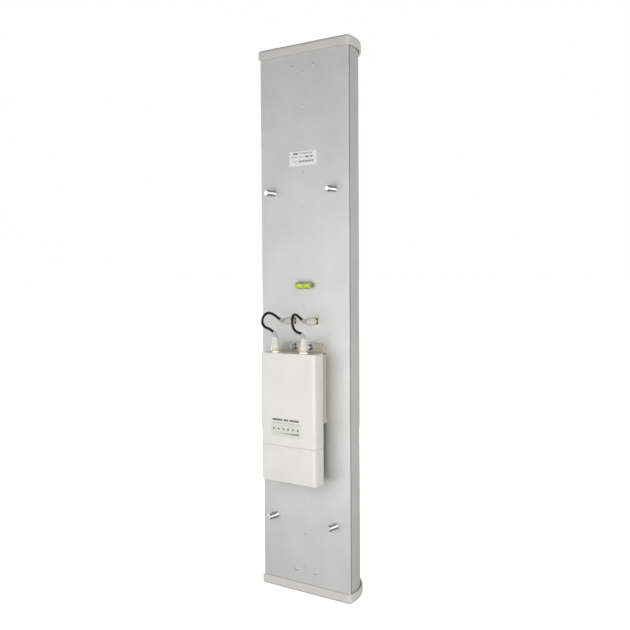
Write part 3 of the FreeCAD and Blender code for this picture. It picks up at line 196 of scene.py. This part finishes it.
# Finishes: what surface takes, for every material slot and for a few pieces that differ from their slot
DIE_LINES = (1, 1, 0.02)  # grain drawn out along Z, as an extrusion's die lines are
FINISHES = {
    "plate": dict(
        dark=(0.60, 0.60, 0.58), light=(0.66, 0.66, 0.64), rough=(0.42, 0.58),
        grain=0.5 * MM, depth=0.006 * MM, mottle=60 * MM, stretch=DIE_LINES,
        # painted highlight: the edges are drawn lighter, standing in for the light they catch
        worn=((0.78, 0.78, 0.76), 0.6), Metallic=0.15,
    ),
    "radome_plastic": dict(
        dark=(0.53, 0.53, 0.495), light=(0.585, 0.585, 0.545), rough=(0.45, 0.6),
        grain=0.7 * MM, depth=0.008 * MM, mottle=50 * MM, stretch=DIE_LINES,
    ),
    "cap_plastic": dict(
        dark=(0.71, 0.692, 0.652), light=(0.75, 0.732, 0.69), rough=(0.42, 0.58),
        grain=0.35 * MM, depth=0.012 * MM, mottle=25 * MM,
        # the edges are drawn a little darker than the face, with the same edge mask
        worn=((0.68, 0.67, 0.64), 0.4), edge_radius=0.5 * MM,
    ),
    "sheet_aluminium": dict(
        dark=(0.60, 0.60, 0.61), light=(0.7, 0.7, 0.71), rough=(0.25, 0.4),
        grain=0.5 * MM, depth=0.008 * MM, stretch=(0.05, 1, 1),
        Metallic=1.0,
    ),
    "zinc": dict(
        dark=(0.74, 0.77, 0.80), light=(0.82, 0.86, 0.89), rough=(0.10, 0.2),
        grain=0.4 * MM, depth=0.004 * MM, mottle=4 * MM,
        # painted highlight: the edges are drawn lighter, standing in for the light they catch
        worn=((0.85, 0.87, 0.9), 0.5), edge_radius=0.15 * MM, Metallic=1.0,
    ),
    "rivet_aluminium": dict(
        dark=(0.50, 0.50, 0.49), light=(0.6, 0.6, 0.59), rough=(0.3, 0.45),
        grain=0.3 * MM, depth=0.006 * MM, mottle=3 * MM,
        edge_radius=0.2 * MM, Metallic=0.8,
    ),
    "white_plastic": dict(
        dark=(0.78, 0.78, 0.75), light=(0.86, 0.86, 0.83), rough=(0.3, 0.45),
        grain=0.4 * MM,
    ),
    "patch_brass": dict(
        dark=(0.62, 0.50, 0.24), light=(0.74, 0.61, 0.32), rough=(0.22, 0.38),
        grain=0.5 * MM, stretch=(1, 1, 0.05),
        Metallic=1.0,
    ),
    "circuit_laminate": dict(
        dark=(0.02, 0.13, 0.05), light=(0.03, 0.19, 0.08), rough=(0.25, 0.4),
        grain=1.2 * MM, depth=0.015 * MM, mottle=6 * MM,
    ),
    "connector_gold": dict(
        dark=(0.82, 0.755, 0.60), light=(0.90, 0.845, 0.71), rough=(0.24, 0.38),
        grain=0.3 * MM, depth=0.004 * MM, mottle=5 * MM,
        edge_radius=0.2 * MM, Metallic=0.7,
    ),
    "dark_steel": dict(
        dark=(0.05, 0.045, 0.04), light=(0.09, 0.085, 0.075), rough=(0.3, 0.45),
        grain=0.3 * MM, depth=0.004 * MM, mottle=2 * MM,
        edge_radius=0.15 * MM, Metallic=0.8,
    ),
    "bubble": dict(
        dark=(0.86, 0.95, 0.55), light=(0.93, 1.0, 0.68), rough=(0.02, 0.06),
        grain=1 * MM, depth=0.002 * MM, mottle=3 * MM,
        Transmission_Weight=0.9, IOR=1.1,
    ),
    "holder_plastic": dict(
        dark=(0.24, 0.27, 0.15), light=(0.32, 0.35, 0.21), rough=(0.25, 0.4),
        grain=0.4 * MM, depth=0.006 * MM, mottle=4 * MM,
    ),
    "label_film": dict(
        dark=(0.84, 0.835, 0.86), light=(0.88, 0.875, 0.895), rough=(0.3, 0.42),
        grain=0.8 * MM, depth=0.004 * MM, mottle=12 * MM,
        Coat_Weight=0.2,
    ),
    "bracket_plastic": dict(
        dark=(0.55, 0.51, 0.415), light=(0.62, 0.58, 0.475), rough=(0.4, 0.55),
        grain=0.3 * MM, depth=0.015 * MM, mottle=20 * MM,
        # painted highlight: the edges are drawn much lighter, standing in for the bright line where the
        # rail catches the light
        worn=((0.84, 0.81, 0.71), 0.7), edge_radius=0.5 * MM,
    ),
    "radio_plastic": dict(
        dark=(0.70, 0.69, 0.645), light=(0.75, 0.74, 0.69), rough=(0.34, 0.5),
        grain=0.3 * MM, depth=0.012 * MM, mottle=40 * MM,
        # painted highlight: the edges are drawn lighter, standing in for the light the rounded edges
        # catch
        worn=((0.78, 0.775, 0.74), 0.4), edge_radius=0.5 * MM,
    ),
    "black_rubber": dict(
        dark=(0.018, 0.018, 0.018), light=(0.03, 0.03, 0.03), rough=(0.6, 0.8),
        grain=0.3 * MM, depth=0.015 * MM, mottle=5 * MM,
    ),
    "shield_tin": dict(
        dark=(0.6, 0.6, 0.6), light=(0.7, 0.7, 0.69), rough=(0.25, 0.4),
        grain=0.5 * MM, depth=0.005 * MM, mottle=8 * MM,
        Metallic=1.0,
    ),
    "black_plastic": dict(
        dark=(0.02, 0.02, 0.02), light=(0.035, 0.035, 0.035), rough=(0.25, 0.4),
        grain=0.4 * MM, depth=0.008 * MM, mottle=8 * MM,
    ),
    "button_plastic": dict(
        dark=(0.5, 0.5, 0.5), light=(0.58, 0.58, 0.57), rough=(0.35, 0.5),
        grain=0.3 * MM, depth=0.006 * MM, mottle=3 * MM,
    ),
    "clear_plastic": dict(
        dark=(0.10, 0.11, 0.07), light=(0.16, 0.17, 0.11), rough=(0.1, 0.2),
        grain=0.4 * MM, depth=0.003 * MM, mottle=1 * MM,
        Coat_Weight=0.6,
    ),
    "cable_jacket": dict(
        dark=(0.006, 0.005, 0.004), light=(0.012, 0.010, 0.008), rough=(0.34, 0.5),
        grain=0.5 * MM, depth=0.01 * MM, mottle=6 * MM,
        Specular_IOR_Level=0.3,
    ),
    "boot_rubber": dict(
        dark=(0.67, 0.665, 0.63), light=(0.72, 0.715, 0.68), rough=(0.28, 0.42),
        grain=0.5 * MM, depth=0.006 * MM, mottle=5 * MM,
        gradient=[  # from the boot's open end to its tip
            (0.0, (0.72, 0.56, 0.33)),
            (0.10, (0.90, 0.76, 0.54)),
            (0.28, (1.0, 0.965, 0.90)),
            (0.55, (1.0, 0.975, 0.94)),
            (1.0, (0.91, 0.92, 0.90)),
        ],
        Subsurface_Weight=0.2, Subsurface_Scale=2 * MM, Coat_Weight=0.2,
    ),
    "sleeve_film": dict(
        dark=(0.38, 0.385, 0.375), light=(0.45, 0.455, 0.445), rough=(0.3, 0.45),
        grain=0.4 * MM, depth=0.01 * MM, mottle=3 * MM,
        Coat_Weight=0.15,
    ),
    "screw_steel": dict(
        dark=(0.36, 0.42, 0.44), light=(0.50, 0.56, 0.58), rough=(0.16, 0.28),
        grain=0.3 * MM, depth=0.006 * MM, mottle=2 * MM,
        # painted highlight: the edges are drawn much lighter, standing in for the light they catch
        worn=((0.75, 0.80, 0.81), 0.8), edge_radius=0.35 * MM, Metallic=1.0,
    ),
    "overlay_film": dict(
        dark=(0.62, 0.62, 0.54), light=(0.67, 0.67, 0.59), rough=(0.22, 0.34),
        grain=0.8 * MM, depth=0.003 * MM, mottle=9 * MM,
    ),
    "print_ink": dict(
        dark=(0.13, 0.13, 0.12), light=(0.19, 0.19, 0.18), rough=(0.35, 0.5),
        grain=0.3 * MM, depth=0.003 * MM, mottle=2 * MM,
    ),
    "print_grey": dict(
        dark=(0.22, 0.215, 0.235), light=(0.29, 0.285, 0.30), rough=(0.35, 0.5),
        grain=0.3 * MM, depth=0.003 * MM, mottle=2 * MM,
    ),
    "print_pale": dict(
        dark=(0.38, 0.38, 0.375), light=(0.44, 0.44, 0.43), rough=(0.35, 0.5),
        grain=0.3 * MM, depth=0.003 * MM, mottle=2 * MM,
    ),
    "vial_green": dict(
        dark=(0.62, 0.74, 0.07), light=(0.74, 0.87, 0.12), rough=(0.05, 0.12),
        grain=1 * MM, depth=0.003 * MM, mottle=5 * MM,
        gradient=[  # painted shade: darker from the level's middle line to its upper and lower rims, standing in for the dark edges refraction gives
            (0.0, (1.0, 1.0, 1.0)),
            (0.55, (0.95, 0.95, 0.8)),
            (0.8, (0.5, 0.48, 0.35)),
            (1.0, (0.25, 0.23, 0.15)),
        ],
        Transmission_Weight=0.25, IOR=1.45, Coat_Weight=0.5,
    ),
}
FLOOR_FINISH = dict(
    dark=(0.80, 0.80, 0.80), light=(0.82, 0.82, 0.82), rough=(0.7, 0.8),
    grain=3 * MM, depth=0.01 * MM, mottle=200 * MM,
    Emission_Color=(1, 1, 1, 1), Emission_Strength=0.92,
)
OWN_FINISHES = {
    "graphic_overlay": "overlay_film",
    "bracket_screws": "screw_steel",
    "bracket_washers": "screw_steel",
}


# ---- mesh helpers ----


def mesh_object(name, vertices, faces, slot, sharp=35):
    """A smooth-shaded piece from its vertices and faces, riding on the panel."""
    mesh = bpy.data.meshes.new(name)
    mesh.from_pydata([tuple(vertex) for vertex in vertices], [], faces)
    shape = bmesh.new()
    shape.from_mesh(mesh)
    bmesh.ops.remove_doubles(shape, verts=shape.verts, dist=1e-7)
    bmesh.ops.recalc_face_normals(shape, faces=shape.faces)
    shape.to_mesh(mesh)
    shape.free()
    mesh.shade_smooth()
    mesh.set_sharp_from_angle(angle=math.radians(sharp))
    piece = bpy.data.objects.new(name, mesh)
    scene.collection.objects.link(piece)
    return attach(piece, PANEL)


def softened(outline, passes=2):
    """Cuts an open outline's corners again and again, which rounds them; its ends stay."""
    for _ in range(passes):
        cut = [outline[0]]
        for (a, b), (c, d) in zip(outline, outline[1:]):
            cut.append((a * 0.75 + c * 0.25, b * 0.75 + d * 0.25))
            cut.append((a * 0.25 + c * 0.75, b * 0.25 + d * 0.75))
        outline = cut + [outline[-1]]
    return outline


def straight(start, along, side):
    """A straight centre line: gives the place and the two cross directions at a distance along it."""
    across = along.cross(side)
    return lambda distance: (start + along * distance, side, across)


def bent(line):
    """A bent centre line through points, with cross directions that don't twist."""
    lengths = [0.0]
    for before, after in zip(line, line[1:]):
        lengths.append(lengths[-1] + (after - before).length)

    def place(distance):
        index = 1
        while index < len(line) - 1 and lengths[index] < distance:
            index += 1
        before, after = line[index - 1], line[index]
        share = (distance - lengths[index - 1]) / (lengths[index] - lengths[index - 1])
        along = (after - before).normalized()
        side = along.cross(X_AXIS).normalized()
        return before.lerp(after, share), side, along.cross(side)

    return place


def turned(outline, place, segments=64):
    """Vertices and faces turned round a centre line, from (distance along, radius) points."""
    rings = []
    vertices = []
    for distance, radius in outline:
        centre, side, across = place(distance)
        first = len(vertices)
        if radius == 0:
            rings.append([first] * segments)
            vertices.append(centre)
            continue
        rings.append(list(range(first, first + segments)))
        for k in range(segments):
            angle = math.tau * k / segments
            vertices.append(centre + (side * math.cos(angle) + across * math.sin(angle)) * radius)
    return vertices, skin(rings)


def skin(rings):
    """The faces between neighbouring rings of vertex numbers; a ring of one number is a point."""
    faces = []
    for low, high in zip(rings, rings[1:]):
        for k in range(len(low)):
            n = (k + 1) % len(low)
            corners = list(dict.fromkeys((low[k], low[n], high[n], high[k])))
            if len(corners) > 2:
                faces.append(corners)
    return faces


def joined_parts(parts):
    """One list of vertices and one of faces from several."""
    vertices, faces = [], []
    for more_vertices, more_faces in parts:
        offset = len(vertices)
        vertices += more_vertices
        faces += [[index + offset for index in face] for face in more_faces]
    return vertices, faces


def tag_along(piece, value_of):
    """Stores a number from 0 to 1 at each vertex, which a material's colours follow."""
    values = piece.data.attributes.new("along", "FLOAT", "POINT")
    for vertex, value in zip(piece.data.vertices, values.data):
        value.value = min(1.0, max(0.0, value_of(vertex.co)))


def slab(outline, plane_y, thickness):
    """A thin closed plate: an (x, z) outline on a plane, raised towards -Y."""
    count = len(outline)
    vertices = [Vector((x, y, z)) for y in (plane_y, plane_y - thickness) for x, z in outline]
    faces = [[k, (k + 1) % count, (k + 1) % count + count, k + count] for k in range(count)]
    faces += [list(range(count)), list(range(2 * count - 1, count - 1, -1))]
    return vertices, faces


def bar_outline(x_span, z_span, steps=5):
    """A bar with rounded ends."""
    radius = min(x_span[1] - x_span[0], z_span[1] - z_span[0]) / 2
    corners = [
        (x_span[1] - radius, z_span[1] - radius, 0),
        (x_span[0] + radius, z_span[1] - radius, 90),
        (x_span[0] + radius, z_span[0] + radius, 180),
        (x_span[1] - radius, z_span[0] + radius, 270),
    ]
    points = []
    for x, z, start in corners:
        for k in range(steps + 1):
            angle = math.radians(start + 90 * k / steps)
            points.append((x + radius * math.cos(angle), z + radius * math.sin(angle)))
    return points


# ---- materials ----


def add_node(tree, kind, inputs=None, **settings):
    """A shader node with its settings, and its inputs set or linked."""
    node = tree.nodes.new(kind)
    for key, value in settings.items():
        setattr(node, key, value)
    for key, value in (inputs or {}).items():
        if isinstance(value, bpy.types.NodeSocket):
            tree.links.new(value, node.inputs[key])
        else:
            node.inputs[key].default_value = value
    return node


def ramp(tree, factor, stops):
    """A colour ramp with (position, colour) stops."""
    node = add_node(tree, "ShaderNodeValToRGB", {"Fac": factor})
    elements = node.color_ramp.elements
    while len(elements) < len(stops):
        elements.new(0.5)
    for element, (position, colour) in zip(elements, stops):
        element.position = position
        element.color = (*colour, 1)
    return node.outputs["Color"]


def remapped(tree, value, before, after=(0.0, 1.0)):
    """A value carried from one span to another, and held at the ends."""
    inputs = {
        "Value": value,
        "From Min": before[0],
        "From Max": before[1],
        "To Min": after[0],
        "To Max": after[1],
    }
    return add_node(tree, "ShaderNodeMapRange", inputs).outputs["Result"]


def mixed_colour(tree, factor, first, second, blend="MIX"):
    """Two colours mixed by a factor."""
    node = add_node(tree, "ShaderNodeMix", data_type="RGBA", blend_type=blend)
    inputs = [socket for socket in node.inputs if socket.enabled]
    for socket, value in zip(inputs, (factor, first, second)):
        if isinstance(value, bpy.types.NodeSocket):
            tree.links.new(value, socket)
        else:
            socket.default_value = value
    return next(socket for socket in node.outputs if socket.enabled)


def painted_edge_highlight(tree, colour, rounded, edge_colour, share):
    """Painted highlight: fades to another colour along the edges, where the rounded normal leaves the
    face's own; a lighter colour there stands in for the light the edge catches.
    """
    own = add_node(tree, "ShaderNodeNewGeometry").outputs["Normal"]
    facing = add_node(tree, "ShaderNodeVectorMath", operation="DOT_PRODUCT")
    tree.links.new(own, facing.inputs[0])
    tree.links.new(rounded, facing.inputs[1])
    amount = remapped(tree, facing.outputs["Value"], (0.995, 0.85), (0.0, share))
    return mixed_colour(tree, amount, colour, (*edge_colour, 1))


def surface(
    name,
    dark,
    light,
    rough=(0.4, 0.55),
    grain=0.6 * MM,
    depth=0.01 * MM,
    mottle=30 * MM,
    stretch=(1, 1, 1),
    edge_radius=0.35 * MM,
    worn=None,
    gradient=None,
    **sockets,
):
    """A finish with mottled colour, fine grain in its roughness and height, and soft edges.

    The edge colour, given as (colour, share), fades in along the edges, and a lighter one is a painted
    highlight; gradient gives colour stops for the along values.
    """
    material = bpy.data.materials.new(name)
    material.use_nodes = True
    tree = material.node_tree
    shader = tree.nodes["Principled BSDF"]
    place = add_node(tree, "ShaderNodeTexCoord").outputs["Object"]
    drawn = add_node(tree, "ShaderNodeMapping", {"Vector": place, "Scale": stretch}).outputs["Vector"]
    wide = add_node(tree, "ShaderNodeTexNoise", {"Vector": place, "Scale": 1 / mottle, "Detail": 4.0})
    fine = add_node(tree, "ShaderNodeTexNoise", {"Vector": drawn, "Scale": 1 / grain, "Detail": 3.0})
    colour = ramp(tree, wide.outputs["Fac"], [(0.3, dark), (0.7, light)])
    if gradient:
        along = add_node(tree, "ShaderNodeAttribute", attribute_name="along").outputs["Fac"]
        colour = mixed_colour(tree, 1.0, colour, ramp(tree, along, gradient), "MULTIPLY")
    rounded = add_node(tree, "ShaderNodeBevel", {"Radius": edge_radius}).outputs["Normal"]
    # painted highlight along the edges, where the edge colour is lighter than the face
    if worn:
        colour = painted_edge_highlight(tree, colour, rounded, *worn)
    tree.links.new(colour, shader.inputs["Base Color"])
    tree.links.new(remapped(tree, fine.outputs["Fac"], (0.3, 0.7), rough), shader.inputs["Roughness"])
    heights = {"Height": fine.outputs["Fac"], "Distance": depth, "Normal": rounded}
    tree.links.new(add_node(tree, "ShaderNodeBump", heights).outputs["Normal"], shader.inputs["Normal"])
    for key, value in sockets.items():
        shader.inputs[key.replace("_", " ")].default_value = value
    return material


def dress(piece, material):
    """Gives the whole piece one material."""
    piece.data.materials.clear()
    piece.data.materials.append(material)


def dress_frame(materials):
    """Gives every CAD node the finish of its slot, or its own."""
    slots = {part["node"]: part["material_slot"] for part in frame["record"]["subparts"]}
    for name, piece in frame["nodes"].items():
        dress(piece, materials[OWN_FINISHES.get(name, slots[name])])


# ---- jumpers ----


def route_curve(name, points, radius):
    """A smooth curve with the points as its control points, as thick as radius says."""
    data = bpy.data.curves.new(name, "CURVE")
    data.dimensions = "3D"
    spline = data.splines.new("NURBS")
    spline.points.add(len(points) - 1)
    for point, place in zip(spline.points, points):
        point.co = (*place, 1)
    spline.order_u = 3
    spline.use_endpoint_u = True
    data.resolution_u = 16
    data.bevel_depth = radius
    data.bevel_resolution = 8
    data.use_fill_caps = radius > 0
    curve = bpy.data.objects.new(name, data)
    scene.collection.objects.link(curve)
    return curve


def centre_line(points):
    """Close-set points along a route's smooth line."""
    curve = route_curve("line", points, 0)
    mesh = bpy.data.meshes.new_from_object(curve)
    line = [vertex.co.copy() for vertex in mesh.vertices]
    bpy.data.objects.remove(curve)
    return line


def jumper(name, materials):
    """One jumper: the cable, its two grey sleeves and its two boots."""
    route = JUMPER_ROUTES[name]
    line = centre_line(route)
    for end, points in (("antenna", line), ("radio", line[::-1])):
        sleeve(f"{end}_{name}", points, materials)
        boot(end, name, points[0], materials)
    cable = route_curve(f"cable_{name}", route, CABLE_RADIUS)
    dress(cable, materials["cable_jacket"])
    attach(cable, PANEL)
    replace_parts(cable, f"jumper_cable_{name}")


def sleeve(place, line, materials):
    """Heat-shrink round the cable, drawn in at both its ends."""
    inner = CABLE_RADIUS + SLEEVE_GAP
    outline = softened([
        (0.2 * MM, inner),
        (0.1 * MM, SLEEVE_RADIUS * 0.86),
        (0.5 * MM, SLEEVE_RADIUS),
        (2.5 * MM, SLEEVE_RADIUS * 0.985),
        (SLEEVE_LENGTH * 0.6, SLEEVE_RADIUS),
        (SLEEVE_LENGTH - 1.1 * MM, SLEEVE_RADIUS * 0.96),
        (SLEEVE_LENGTH - 0.35 * MM, SLEEVE_RADIUS * 0.84),
        (SLEEVE_LENGTH, SLEEVE_RADIUS * 0.7),
        (SLEEVE_LENGTH, inner),
    ])
    vertices, faces = turned(outline + outline[:1], bent(line), 40)
    piece = mesh_object(f"shrink_{place}", vertices, faces, "sleeve_film")
    dress(piece, materials["sleeve_film"])
    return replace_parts(piece, f"sleeve_{place}")


def boot(end, name, tip, materials):
    """A tapered silicone boot whose tip meets the cable's end."""
    along = Z_AXIS if end == "radio" else -Y_AXIS
    start = tip - along * BOOT_LENGTH
    outline = [(height * MM, radius * MM) for height, radius in BOOT_OUTLINE]
    vertices, faces = turned(softened(outline), straight(start, along, X_AXIS))
    piece = mesh_object(f"silicone_boot_{end}_{name}", vertices, faces, "boot_rubber", 50)
    tag_along(piece, lambda place: (place - start).dot(along) / BOOT_LENGTH)
    dress(piece, materials["boot_rubber"])
    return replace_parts(piece, f"boot_{end}_{name}")


# ---- studs and level ----


def thread_radius(height, turn, tip):
    """The thread's radius at a height over the plate and a share of a turn round the stud."""
    phase = (height / STUD_PITCH - turn) % 1.0
    ridge = 1 - abs(2 * phase - 1)
    cut = THREAD_DEPTH * (1 - min(1.0, ridge * THREAD_STEEPNESS))
    chamfered = STUD_RADIUS - STUD_CHAMFER + (tip - height)
    return min(STUD_RADIUS - cut, chamfered)


def stud_thread(x, z, tip):
    """A stud's threaded shank, from the plate to its chamfered tip."""
    vertices = []
    rings = []
    steps = round(tip / STUD_PITCH * RINGS_PER_TURN)
    for i in range(steps + 1):
        height = tip * i / steps
        rings.append(list(range(len(vertices), len(vertices) + STUD_SEGMENTS)))
        for k in range(STUD_SEGMENTS):
            turn = k / STUD_SEGMENTS
            angle = math.tau * turn
            reach = thread_radius(height, turn, tip)
            vertices.append(Vector((x + reach * math.cos(angle), -height, z + reach * math.sin(angle))))
    return vertices, skin(rings) + [rings[-1]]


def stud_seat(x, z, back):
    """A stud's plain seat in the plate and its head on the far side."""
    outline = [
        (0.0, STUD_RADIUS - THREAD_DEPTH),
        (0.0, SEAT_RADIUS),
        (HEAD_START, SEAT_RADIUS),
        (HEAD_START, HEAD_RADIUS),
        (back - HEAD_CHAMFER, HEAD_RADIUS),
        (back, HEAD_RADIUS - HEAD_CHAMFER),
        (back, 0.0),
    ]
    return turned(outline, straight(Vector((x, 0, z)), Y_AXIS, X_AXIS), STUD_SEGMENTS)


def threaded_studs(materials):
    """The four M8 studs, with their thread cut."""
    lowest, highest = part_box("mast_studs")
    parts = []
    for x in (lowest.x + HEAD_RADIUS, highest.x - HEAD_RADIUS):
        for z in (lowest.z + HEAD_RADIUS, highest.z - HEAD_RADIUS):
            parts += [stud_thread(x, z, -lowest.y), stud_seat(x, z, highest.y)]
    piece = mesh_object("threaded_studs", *joined_parts(parts), "zinc", 40)
    dress(piece, materials["zinc"])
    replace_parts(piece, "mast_studs")


def vial(materials):
    """The level's two-lobed body: a smooth outer skin and a straight closed bore."""
    lowest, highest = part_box("level_vial")
    middle = (lowest + highest) / 2
    half = (highest.x - lowest.x) / 2
    lobe = (highest.z - lowest.z) / 2
    right_half = [
        (0.0, VIAL_WAIST * 0.97),
        (1.2 * MM, VIAL_WAIST),
        (3.2 * MM, lobe * 0.95),
        (5.0 * MM, lobe * 1.01),
        (8.6 * MM, lobe * 1.01),
        (10.8 * MM, lobe * 0.86),
        (half - 0.1 * MM, lobe * 0.6),
        (half, lobe * 0.35),
        (half, 0.0),
    ]
    left_half = [(-distance, radius) for distance, radius in right_half[:0:-1]]
    line = straight(middle, X_AXIS, Y_AXIS)
    outside = turned(softened(left_half + right_half, 3), line)
    bore = [
        (-VIAL_BORE_HALF, 0.0),
        (-VIAL_BORE_HALF, VIAL_BORE),
        (VIAL_BORE_HALF, VIAL_BORE),
        (VIAL_BORE_HALF, 0.0),
    ]
    piece = mesh_object("acrylic_vial", *joined_parts([outside, turned(bore, line)]), "vial_green", 60)
    # painted shade: the rims' darkening follows the distance from the middle line
    tag_along(piece, lambda place: abs(place.z - middle.z) / lobe)
    dress(piece, materials["vial_green"])
    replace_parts(piece, "level_vial")


# ---- printing ----


def printed(name, outlines, plane_y, material):
    """A layer of ink on a flat face: several closed outlines, a few hundredths of a millimetre proud."""
    parts = [slab(outline, plane_y, INK_THICKNESS) for outline in outlines]
    dress(mesh_object(name, *joined_parts(parts), "label_film"), material)


def word_bars(left, right, top, row):
    """A row's bars, of its widths over and over, between two ends and under an upper edge."""
    drop, height, widths, gap = row
    bottom = top - drop * MM
    bars = []
    x = left
    for width in itertools.cycle(widths):
        if x >= right:
            return bars
        shown = min(width * MM, right - x)
        if shown > gap * MM:
            bars.append(bar_outline((x, x + shown), (bottom, bottom + height * MM)))
        x += shown + gap * MM


def label_print(materials):
    """Plain bars in rows on the rating label, where it would carry its data."""
    lowest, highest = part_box("rating_label")
    margin = lowest.x + LABEL_MARGIN
    inks = {"bold": [], "light": []}
    for ink, left, right, row in LABEL_ROWS:
        inks[ink] += word_bars(margin + left * MM, margin + right * MM, highest.z, row)
    printed("label_bold_bars", inks["bold"], lowest.y, materials["print_grey"])
    printed("label_light_bars", inks["light"], lowest.y, materials["print_pale"])


def stripe_outline(left, right, middle, steps=16):
    """A stripe that widens from its left end, sooner below its middle line than above it."""
    shares = [k / steps for k in range(steps + 1)]
    upper = [(left + (right - left) * t, middle + STRIPE_TIP + STRIPE_GROWTH * t**1.5) for t in shares]
    lower = [(left + (right - left) * t, middle - STRIPE_TIP - STRIPE_GROWTH * t**0.8) for t in shares]
    return upper + lower[::-1]


def overlay_print(materials):
    """Generic marks at the radio's film: bars over it, and a fine row and a tapering stripe on it."""
    lowest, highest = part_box("graphic_overlay")
    left = lowest.x + OVERLAY_MARGINS[0]
    right = highest.x - OVERLAY_MARGINS[1]
    radio_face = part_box("front_cover")[0].y
    marks = word_bars(left, right, highest.z, MARK_ROW)
    fine_row = word_bars(left, right, highest.z, FINE_ROW)
    stripe = stripe_outline(left + STRIPE_INDENT, right, lowest.z + STRIPE_RAISED)
    printed("overlay_marks", marks, radio_face, materials["print_ink"])
    printed("overlay_fine_row", fine_row, lowest.y, materials["print_pale"])
    printed("overlay_stripe", [stripe], lowest.y, materials["print_grey"])


# ---- surroundings ----


def make_camera():
    """The camera, level with the panel's middle and to its right."""
    lowest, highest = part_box("back_plate")
    middle = Vector((0, 0, (lowest.z + highest.z) / 2))
    a, e, r = CAMERA_AZIMUTH, CAMERA_ELEVATION, CAMERA_ROLL
    back = Vector((math.sin(a) * math.cos(e), -math.cos(a) * math.cos(e), math.sin(e)))
    level_right = Vector((math.cos(a), math.sin(a), 0))
    level_up = back.cross(level_right)
    right = level_right * math.cos(r) + level_up * math.sin(r)
    up = level_up * math.cos(r) - level_right * math.sin(r)
    place = middle + back * CAMERA_DISTANCE + right * CAMERA_ASIDE + up * CAMERA_RAISED
    data = bpy.data.cameras.new("camera")
    data.lens = CAMERA_LENS
    camera = bpy.data.objects.new("camera", data)
    camera.matrix_world = Matrix.Translation(place) @ Matrix((right, up, back)).transposed().to_4x4()
    scene.collection.objects.link(camera)
    scene.camera = camera


def mixed_shader(tree, share, first, second):
    """The first shader where share is 0 and the second where it is 1."""
    node = tree.nodes.new("ShaderNodeMixShader")
    for socket, value in zip(node.inputs, (share, first, second)):
        tree.links.new(value, socket)
    return node.outputs[0]


def toned_background(tree, height, tones, strength):
    """A grey background whose tone follows the height."""
    colour = ramp(tree, height, [(place, (tone, tone, tone)) for place, tone in tones])
    return add_node(tree, "ShaderNodeBackground", {"Color": colour, "Strength": strength}).outputs[0]


def make_world():
    """A pale studio: dim overhead, stronger towards +X, and plain white where the camera sees it.

    What polished parts mirror is darker above and below than what lights the dull ones.
    """
    world = bpy.data.worlds.new("studio")
    scene.world = world
    world.use_nodes = True
    tree = world.node_tree
    tree.nodes.clear()
    direction = add_node(tree, "ShaderNodeTexCoord").outputs["Generated"]
    parts = add_node(tree, "ShaderNodeSeparateXYZ", {"Vector": direction})
    strength = remapped(tree, parts.outputs["X"], FILLING_SIDEWAYS, FILLING_STRENGTHS)
    height = remapped(tree, parts.outputs["Z"], (-1.0, 1.0))
    filling = toned_background(tree, height, FILLING_TONES, strength)
    mirrored = toned_background(tree, height, MIRRORED_TONES, MIRRORED_STRENGTH)
    seen = add_node(tree, "ShaderNodeBackground", {"Color": (1, 1, 1, 1)}).outputs[0]
    path = add_node(tree, "ShaderNodeLightPath")
    lit = mixed_shader(tree, path.outputs["Is Glossy Ray"], filling, mirrored)
    both = mixed_shader(tree, path.outputs["Is Camera Ray"], lit, seen)
    add_node(tree, "ShaderNodeOutputWorld", {"Surface": both})


def make_floor():
    """A wide pale floor just under the object."""
    level = cad_box[0].z - FLOOR_DROP
    corners = [(-1, -1), (1, -1), (1, 1), (-1, 1)]
    mesh = bpy.data.meshes.new("floor")
    mesh.from_pydata([(x * FLOOR_HALF, y * FLOOR_HALF, level) for x, y in corners], [], [[0, 1, 2, 3]])
    floor = bpy.data.objects.new("floor", mesh)
    scene.collection.objects.link(floor)
    dress(floor, surface("floor_paper", **FLOOR_FINISH))
    floor.visible_glossy = False  # polished parts mirror the studio's dim lower half
    floor.visible_diffuse = False  # and its glow doesn't light the panel from below


def area_light(name, place, target, size, watts):
    """A soft square light aimed at a point."""
    data = bpy.data.lights.new(name, "AREA")
    data.shape = "SQUARE"
    data.size = size
    data.energy = watts
    light = bpy.data.objects.new(name, data)
    light.location = place
    light.visible_camera = False
    light.rotation_euler = (Vector(target) - Vector(place)).to_track_quat("-Z", "Y").to_euler()
    scene.collection.objects.link(light)


# ---- the whole scene ----

make_camera()
make_world()
make_floor()
for light_name, values in LIGHTS.items():
    area_light(light_name, *values)
scene.view_settings.view_transform = "Standard"

finishes = {slot_name: surface(slot_name, **values) for slot_name, values in FINISHES.items()}
dress_frame(finishes)
for jumper_name in JUMPER_ROUTES:
    jumper(jumper_name, finishes)
threaded_studs(finishes)
vial(finishes)
label_print(finishes)
overlay_print(finishes)
